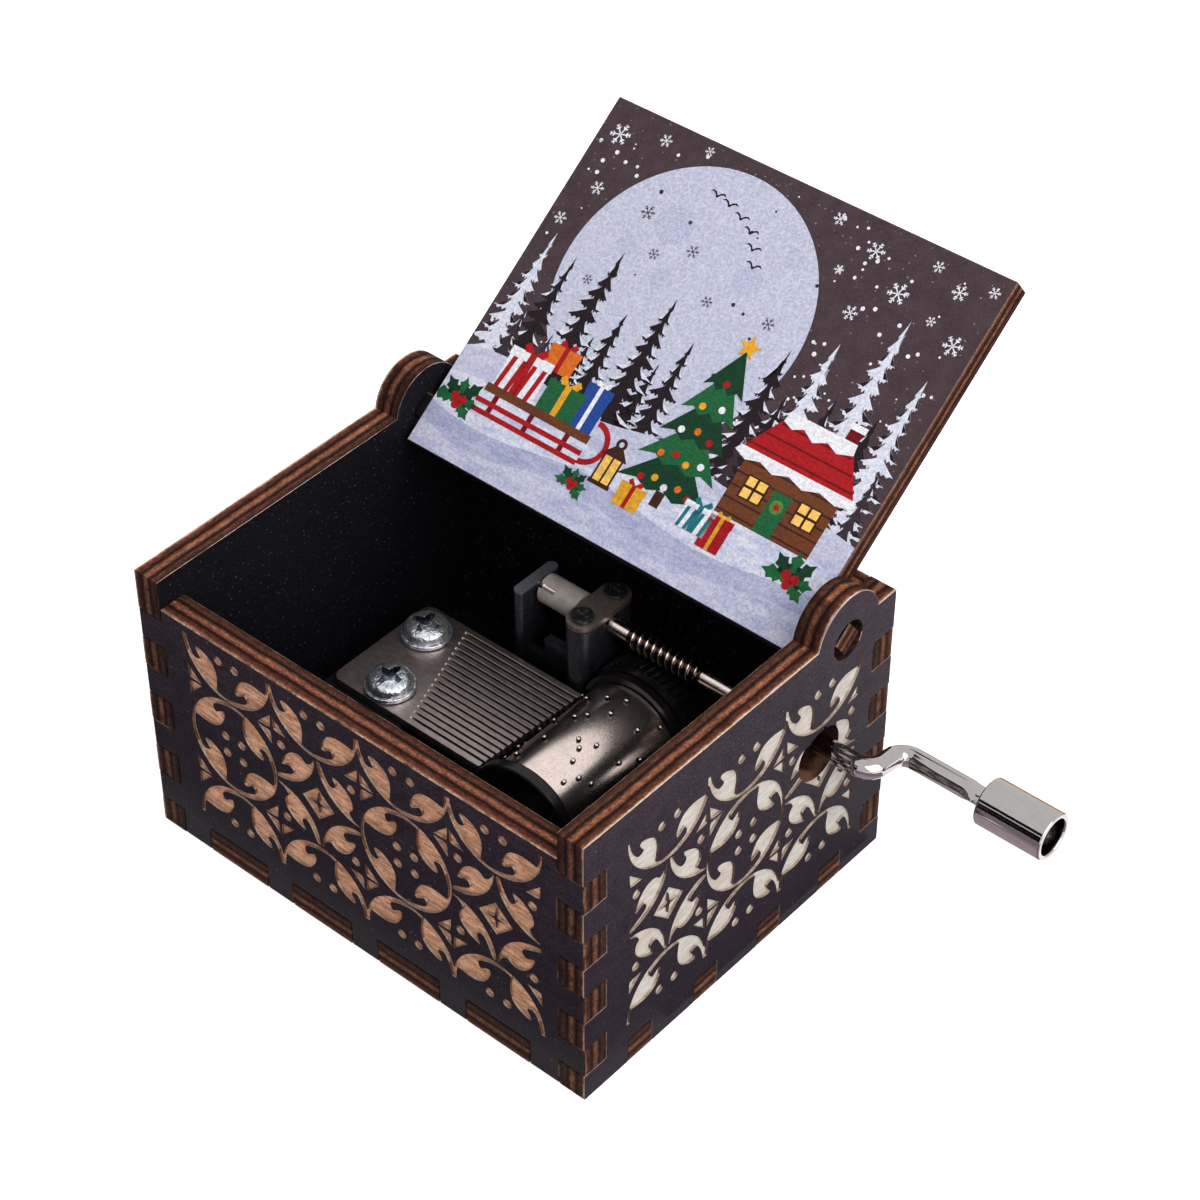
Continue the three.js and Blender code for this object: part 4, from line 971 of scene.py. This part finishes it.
# Rounds the corners of an outline with a few points, apart from those on the axis
def easedProfile(profile, radius, steps=3):
    corners = [Vector(corner) for corner in profile]
    eased = []
    for before, here, after in zip(corners[-1:] + corners, corners, corners[1:] + corners[:1]):
        reach = 0.45 * min((before - here).length, (after - here).length)
        reach = min(radius, reach) if here.x > 0 else 0
        start = here + (before - here).normalized() * reach
        end = here + (after - here).normalized() * reach
        for step in range(steps + 1 if reach else 1):
            t = step / steps
            eased.append(tuple(start * (1 - t) ** 2 + here * 2 * t * (1 - t) + end * t ** 2))
    return eased


# The barrel and its pins: a row of pins for each tooth, each pin at a share of a turn from the top
barrel = {
    "axis": (8.4952, 0, 13.4), "radius": 6.5, "ease": 0.12,
    "profile": [(5.9, -7.3), (6.5, -7.3), (6.5, 9.9), (5.9, 9.9)],
    "pinRadius": 0.3, "pinHeight": 0.42, "pinRoot": 0.2, "pinDome": 0.18,
    "rowStart": -6.85, "rowPitch": 16.3 / 18,
    "rows": [
        [0.233, 0.45, 0.683], [0.083, 0.367, 0.6, 0.908], [0.183, 0.5, 0.817], [0.1, 0.3, 0.65, 0.867],
        [0.055, 0.133, 0.4, 0.75], [0.25, 0.55, 0.933], [0.038, 0.333, 0.617, 0.8],
        [0.017, 0.2, 0.467, 0.717], [0.062, 0.283, 0.567, 0.833], [0.137, 0.417, 0.667, 0.883],
        [0.233, 0.517, 0.767, 0.945], [0.317, 0.6, 0.972], [0.167, 0.433, 0.7], [0.017, 0.367, 0.55, 0.783],
        [0.1, 0.267, 0.633, 0.907], [0.2, 0.483, 0.733, 0.967], [0.017, 0.317, 0.583, 0.833],
        [0.133, 0.4, 0.683],
    ],
}


def barrelPin():
    height = barrel["pinHeight"] + barrel["pinRoot"]
    middle = barrel["radius"] - barrel["pinRoot"] + height / 2
    bpy.ops.mesh.primitive_cylinder_add(vertices=12, radius=barrel["pinRadius"] * mm, depth=height * mm,
                                        location=(0, 0, middle * mm))
    pin = bpy.context.object
    bpy.ops.object.transform_apply(location=True, rotation=True, scale=True)
    bevelEdges(pin, barrel["pinDome"], 3, 30)
    return pin


eased = easedProfile(barrel["profile"], barrel["ease"])
body = turnedPiece("pinned_cylinder_round", eased, barrel["axis"], yAxis, 96)
middle = Vector(barrel["axis"])
pin = barrelPin()
pins = []
for row, shares in enumerate(barrel["rows"]):
    along = barrel["rowStart"] + (row + 0.5) * barrel["rowPitch"]
    for share in shares:
        turn = Matrix.Rotation(2 * math.pi * share, 4, "Y")
        pins.append(newObject("pin", pin.data.copy()))
        pins[-1].data.transform(Matrix.Translation((middle + yAxis * along) * mm) @ turn)
bpy.data.objects.remove(pin)
choose(body, *pins)
bpy.ops.object.join()
smoothSides(body, 40)
place(body, "pinned_cylinder", "satin_nickel", "pin_steel")
for face in body.data.polygons:
    fromAxis = (face.center / mm - middle).xz.length
    face.material_index = 1 if fromAxis > barrel["radius"] + 0.02 else 0
print("barrel pinned")

# The worm shaft: a turned shaft with a rounded thread wound on it
worm = {
    "centre": (0, 14.75, 22.28944), "ease": 0.08,
    "profile": [(0, -10.8), (0.65, -10.8), (0.65, -8.6), (1, -8.6), (1, 21.5), (1.95, 21.5), (1.95, 27.9),
                (1.32, 27.9), (1.32, 23), (0, 23)],
    "threadStart": 2.4952, "turns": 12, "bareTurns": 2, "pitch": 1, "threadRoot": 0.9, "steps": 36,
    "section": [(-0.42, 0.9), (-0.3, 1.04), (-0.18, 1.26), (-0.08, 1.39), (0, 1.42), (0.08, 1.39),
                (0.18, 1.26), (0.3, 1.04), (0.42, 0.9)],
}


def wormThread():
    root, count = worm["threadRoot"], len(worm["section"])
    rings = (worm["turns"] - worm["bareTurns"]) * worm["steps"] + 1
    points = []
    for ring in range(rings):
        turn = worm["bareTurns"] + ring / worm["steps"]
        angle = 2 * math.pi * (turn - worm["turns"] / 2) - math.pi / 2
        outward = Vector((0, math.cos(angle), math.sin(angle)))
        taper = min(1, ring / 20, (rings - 1 - ring) / 20) * 0.6 + 0.4
        for shift, radius in worm["section"]:
            along = worm["threadStart"] + turn * worm["pitch"] + shift * taper
            reach = root + (radius - root) * taper
            points.append((Vector(worm["centre"]) + xAxis * along + outward * reach) * mm)
    faces = [tuple(range(count))[::-1], tuple(range((rings - 1) * count, rings * count))]
    for ring in range(0, (rings - 1) * count, count):
        for a, b in zip(range(count), [*range(1, count), 0]):
            faces.append((ring + a, ring + b, ring + b + count, ring + a + count))
    thread = pieceFromPoints("thread", points, [], faces)
    closeUp(thread)
    return thread


eased = easedProfile(worm["profile"], worm["ease"])
shaft = turnedPiece("worm_shaft_round", eased, worm["centre"], xAxis, 40)
choose(shaft, wormThread())
bpy.ops.object.join()
smoothSides(shaft, 45)
place(shaft, "worm_shaft", "wound_nickel")
print("worm wound")

# The screws that hold the comb: a rim, a dome and a cross recess; each has a place and a turn in degrees
combScrew = {
    "places": {"comb_screw_front": (-16.0008, -3.9, 0), "comb_screw_back": (-19.0008, 5.35, 12)},
    "profile": [(0, 8.7), (1.2, 8.7), (1.2, 15.3), (3.05, 15.3), (3.05, 15.8), (2.8, 15.85)], "ease": 0.1,
    "rimTop": 15.8, "dome": 2.8, "domeHeight": 1.5,
    "crossLength": 4.3, "crossWidth": 1.05, "crossDepth": 1.15, "crossFoot": 0.62, "bevel": 0.05,
    "domeCurve": [(1, 0.05), (0.985, 0.3), (0.93, 0.55), (0.82, 0.75), (0.62, 0.89), (0.34, 0.97), (0, 1)],
}


def crossCutter(x, y, top, turn):
    shell = bmesh.new()
    right = Matrix.Rotation(math.radians(turn), 3, "Z") @ xAxis
    half, wide = combScrew["crossLength"] / 2, combScrew["crossWidth"] / 2
    arm = [(half, -wide * 0.8), (half, wide * 0.8), (wide * 1.2, wide * 1.2)]
    outline = [point for quarter in range(4) for point in quarterTurned(arm, quarter)]
    matrix = surfaceFrame((x, y, top), right, zAxis.cross(right))
    addSlab(shell, outline, -combScrew["crossDepth"], 1, matrix, combScrew["crossFoot"])
    return pieceFromShell("cross", shell)


for node, (x, y, turn) in combScrew["places"].items():
    profile = easedProfile(combScrew["profile"], combScrew["ease"])
    rimTop, dome = combScrew["rimTop"], combScrew["domeCurve"]
    for across, rise in curveThrough(dome, 4)[1:] + [dome[-1]]:
        profile.append((combScrew["dome"] * across, rimTop + combScrew["domeHeight"] * rise))
    screw = turnedPiece(node + "_domed", profile, (x, y, 0), zAxis, 64)
    subtract(screw, crossCutter(x, y, rimTop + combScrew["domeHeight"], turn))
    bevelEdges(screw, combScrew["bevel"], 2, 40)
    smoothSides(screw, 35)
    place(screw, node, "bright_zinc", "shaded_zinc")
    for face in screw.data.polygons:
        reach = (face.center / mm - Vector((x, y, 0))).xy.length
        inRecess = reach < combScrew["dome"] * 0.85 and face.center.z / mm > rimTop and face.normal.z < 0.6
        face.material_index = 1 if inRecess else 0
print("comb screws done")

# The crank's rod: straight, bent across, bent back, with a pinched place before the knob
crank = {
    "start": (23.1, 14.75, 22.28944), "armX": 37.9, "throw": 6.02, "tilt": math.radians(-11.7), "bend": 1.9,
    "radius": 1.25, "end": 54.3, "head": [(0, 54), (1.8, 54), (1.8, 54.6), (0, 54.6)], "headEase": 0.12,
    "step": 0.5, "fineStep": 0.12, "pinch": 48.2, "pinchReach": 1, "pinchWide": 1.34, "pinchThin": 0.52,
}
across = Vector((0, math.cos(crank["tilt"]), math.sin(crank["tilt"])))
knobAxis = Vector((0, *crank["start"][1:])) + across * crank["throw"]


def rodPoints():
    start, bend = Vector(crank["start"]), crank["bend"]
    first = Vector((crank["armX"], start.y, start.z))
    straight = int((first.x - bend - start.x) / crank["step"])
    points = [start + xAxis * crank["step"] * i for i in range(straight)]
    for corner, before, after in ((first, xAxis, across), (first + across * crank["throw"], across, xAxis)):
        centre = corner - before * bend + after * bend
        for step in range(15):
            angle = step / 14 * math.pi / 2
            points.append(centre - after * bend * math.cos(angle) + before * bend * math.sin(angle))
    x = points[-1].x + crank["fineStep"]
    while x < crank["end"]:
        points.append(knobAxis + xAxis * x)
        x += crank["fineStep"] if abs(x - crank["pinch"]) < 1.2 else crank["step"]
    return points


# Squeezes the rod flat and wide for a short way
def pinchRod(rod):
    upright = xAxis.cross(across)
    for vertex in rod.data.vertices:
        spot = vertex.co / mm
        centre = knobAxis + xAxis * spot.x
        share = 1 - ((spot.x - crank["pinch"]) / crank["pinchReach"]) ** 2
        if share > 0 and (spot - centre).length <= 2:
            wide = (spot - centre).dot(across) * (1 + (crank["pinchWide"] - 1) * share)
            thin = (spot - centre).dot(upright) * (1 - (1 - crank["pinchThin"]) * share)
            vertex.co = (centre + across * wide + upright * thin) * mm


# The knob: a sleeve that turns on the rod, open at its outer end
knob = {
    "profile": [(1.33, 49.4), (2.9, 49.4), (2.9, 57.95), (2.2, 57.95), (2.2, 53.7), (1.33, 53.7)],
    "ease": 0.28,
}

points = rodPoints()
curve = bpy.data.curves.new("rod", "CURVE")
curve.dimensions = "3D"
curve.bevel_depth = crank["radius"] * mm
curve.bevel_resolution = 8
curve.use_fill_caps = True
spline = curve.splines.new("POLY")
spline.points.add(len(points) - 1)
for target, point in zip(spline.points, points):
    target.co = (*(point * mm), 1)
choose(newObject("crank_handle_bent", curve))
bpy.ops.object.convert(target="MESH")
rod = bpy.context.object
closeUp(rod)
pinchRod(rod)
head = turnedPiece("head", easedProfile(crank["head"], crank["headEase"]), knobAxis, xAxis, 40)
choose(rod, head)
bpy.ops.object.join()
smoothSides(rod, 40)
place(rod, "crank_handle", "polished_chrome")
piece = turnedPiece("crank_knob_turned", easedProfile(knob["profile"], knob["ease"], 5), knobAxis, xAxis, 96)
smoothSides(piece, 40)
place(piece, "crank_knob", "polished_chrome")
print("crank and knob done")

# The floor, the backdrop's light, the lamps and the camera
studio = {
    "target": (12.245, 0, 42.11),
    "distance": 334.295,
    "azimuth": math.radians(40.783),
    "elevation": math.radians(41.394),
    "lens": 95.59,
    "ambient": 0.43,
    "floorTones": [(226, 226, 228), (240, 240, 240)],
    "floorLift": 0.58,
    "seenRays": ("Is Camera Ray", "Is Glossy Ray", "Is Transmission Ray"),
}
# Place, size, the way it faces and tone
cards = {
    "near_card": ((70, -36, 1), (72, 118), zAxis, (184, 164, 180)),
    "knob_card": ((42, 6, 1.4), (20, 36), zAxis, (222, 204, 214)),
    "dark_card_low": ((-230, -400, 54), (620, 100), yAxis, (34, 28, 28)),
    "dark_card_middle": ((-230, -400, 150), (620, 90), yAxis, (26, 22, 22)),
    "dark_card_high": ((-230, -400, 290), (620, 120), yAxis, (30, 26, 26)),
    "lilac_card": ((-130, -204, 2), (560, 352), zAxis, (170, 152, 166)),
    "warm_card": ((-40, 190, 2), (380, 240), zAxis, (226, 160, 96)),
}
# Place, aim, size, watts, tone and whether polished metal shows it
lamps = {
    "top_softbox": ((120, 60, 520), (0, 0, 20), (820, 620), 2.2, (255, 250, 246), False),
    "right_softbox": ((460, -60, 300), (20, 0, 20), (520, 520), 3, (255, 252, 250), True),
    "left_softbox": ((-430, 260, 240), (0, 0, 20), (520, 420), 1.2, (255, 252, 250), False),
}


# Above 0 where a ray comes from the camera, from polished metal or through something
def seenRays(finish):
    return sum(finish.node("ShaderNodeLightPath", output=ray) for ray in studio["seenRays"])


# Glowing cards, no lamps, that show only in reflections: painted reflections in polished metal and in the
# paint's sheen
def addCard(name, middle, size, facing, shade):
    bpy.ops.mesh.primitive_plane_add(size=1)
    card = bpy.context.object
    card.name = name
    card.location = Vector(middle) * mm
    card.scale = (size[0] * mm, size[1] * mm, 1)
    card.rotation_euler = facing.to_track_quat("Z", "Y").to_euler()
    finish = newFinish(name + "_cloth", 0)
    glowBands = finish.noise(1, 2, stretch=(0, 0.02, 0)).between(0.4, 0.6)
    finish.set("Roughness", 0.9)
    finish.set("Base Color", (0, 0, 0, 1))
    finish.set("Emission Strength", 1)
    finish.set("Emission Color", finish.mix(glowBands * 0.6, shade, [value * 0.6 for value in shade]))
    card.data.materials.append(finish.owner)
    for ray in ("camera", "diffuse", "transmission", "volume_scatter", "shadow"):
        setattr(card, "visible_" + ray, False)


# Puts a lamp or the camera at a place in metres, pointing along a direction
def point(holder, middle, direction):
    holder.location = middle
    holder.rotation_euler = direction.to_track_quat("-Z", "Y").to_euler()


def addLamp(name, middle, aim, size, watts, shade, mirrored):
    lamp = bpy.data.lights.new(name, "AREA")
    lamp.shape = "RECTANGLE"
    lamp.size, lamp.size_y = size[0] * mm, size[1] * mm
    lamp.energy = watts
    lamp.color = tone(shade)[:3]
    holder = newObject(name, lamp)
    point(holder, Vector(middle) * mm, Vector(aim) - Vector(middle))
    holder.visible_camera = False
    holder.visible_glossy = mirrored


bpy.ops.mesh.primitive_plane_add(size=3, location=(0, 0, -0.00002))
floor = bpy.context.object
floor.name = "studio_floor"
finish = newFinish("white_paper", 0.1)
finish.set("Roughness", 0.85)
finish.set("Base Color", finish.mix(finish.noise(0.8, 2) * 0.04, *studio["floorTones"]))
finish.set("Emission Strength", studio["floorLift"])
finish.set("Emission Color", finish.mix(seenRays(finish), (0, 0, 0), (255, 255, 255)))
floor.data.materials.append(finish.owner)
world = bpy.data.worlds.new("white_studio")
bpy.context.scene.world = world
finish = Finish(world, "ShaderNodeBackground", "ShaderNodeOutputWorld")
light = {"Value": seenRays(finish), "To Min": studio["ambient"], "To Max": 1}
finish.set("Color", (1, 1, 1, 1))
finish.set("Strength", finish.node("ShaderNodeMapRange", light))
for name, look in cards.items():
    addCard(name, *look)
for name, look in lamps.items():
    addLamp(name, *look)
camera = bpy.data.cameras.new("camera")
camera.lens = studio["lens"]
camera.sensor_width = 36
camera.clip_start = 0.01
azimuth, elevation = studio["azimuth"], studio["elevation"]
level = math.cos(elevation)
toCamera = Vector((math.sin(azimuth) * level, -math.cos(azimuth) * level, math.sin(elevation)))
holder = newObject("camera", camera)
point(holder, (Vector(studio["target"]) + toCamera * studio["distance"]) * mm, -toCamera)
bpy.context.scene.camera = holder
bpy.context.scene.view_settings.view_transform = "Standard"
print("studio set")
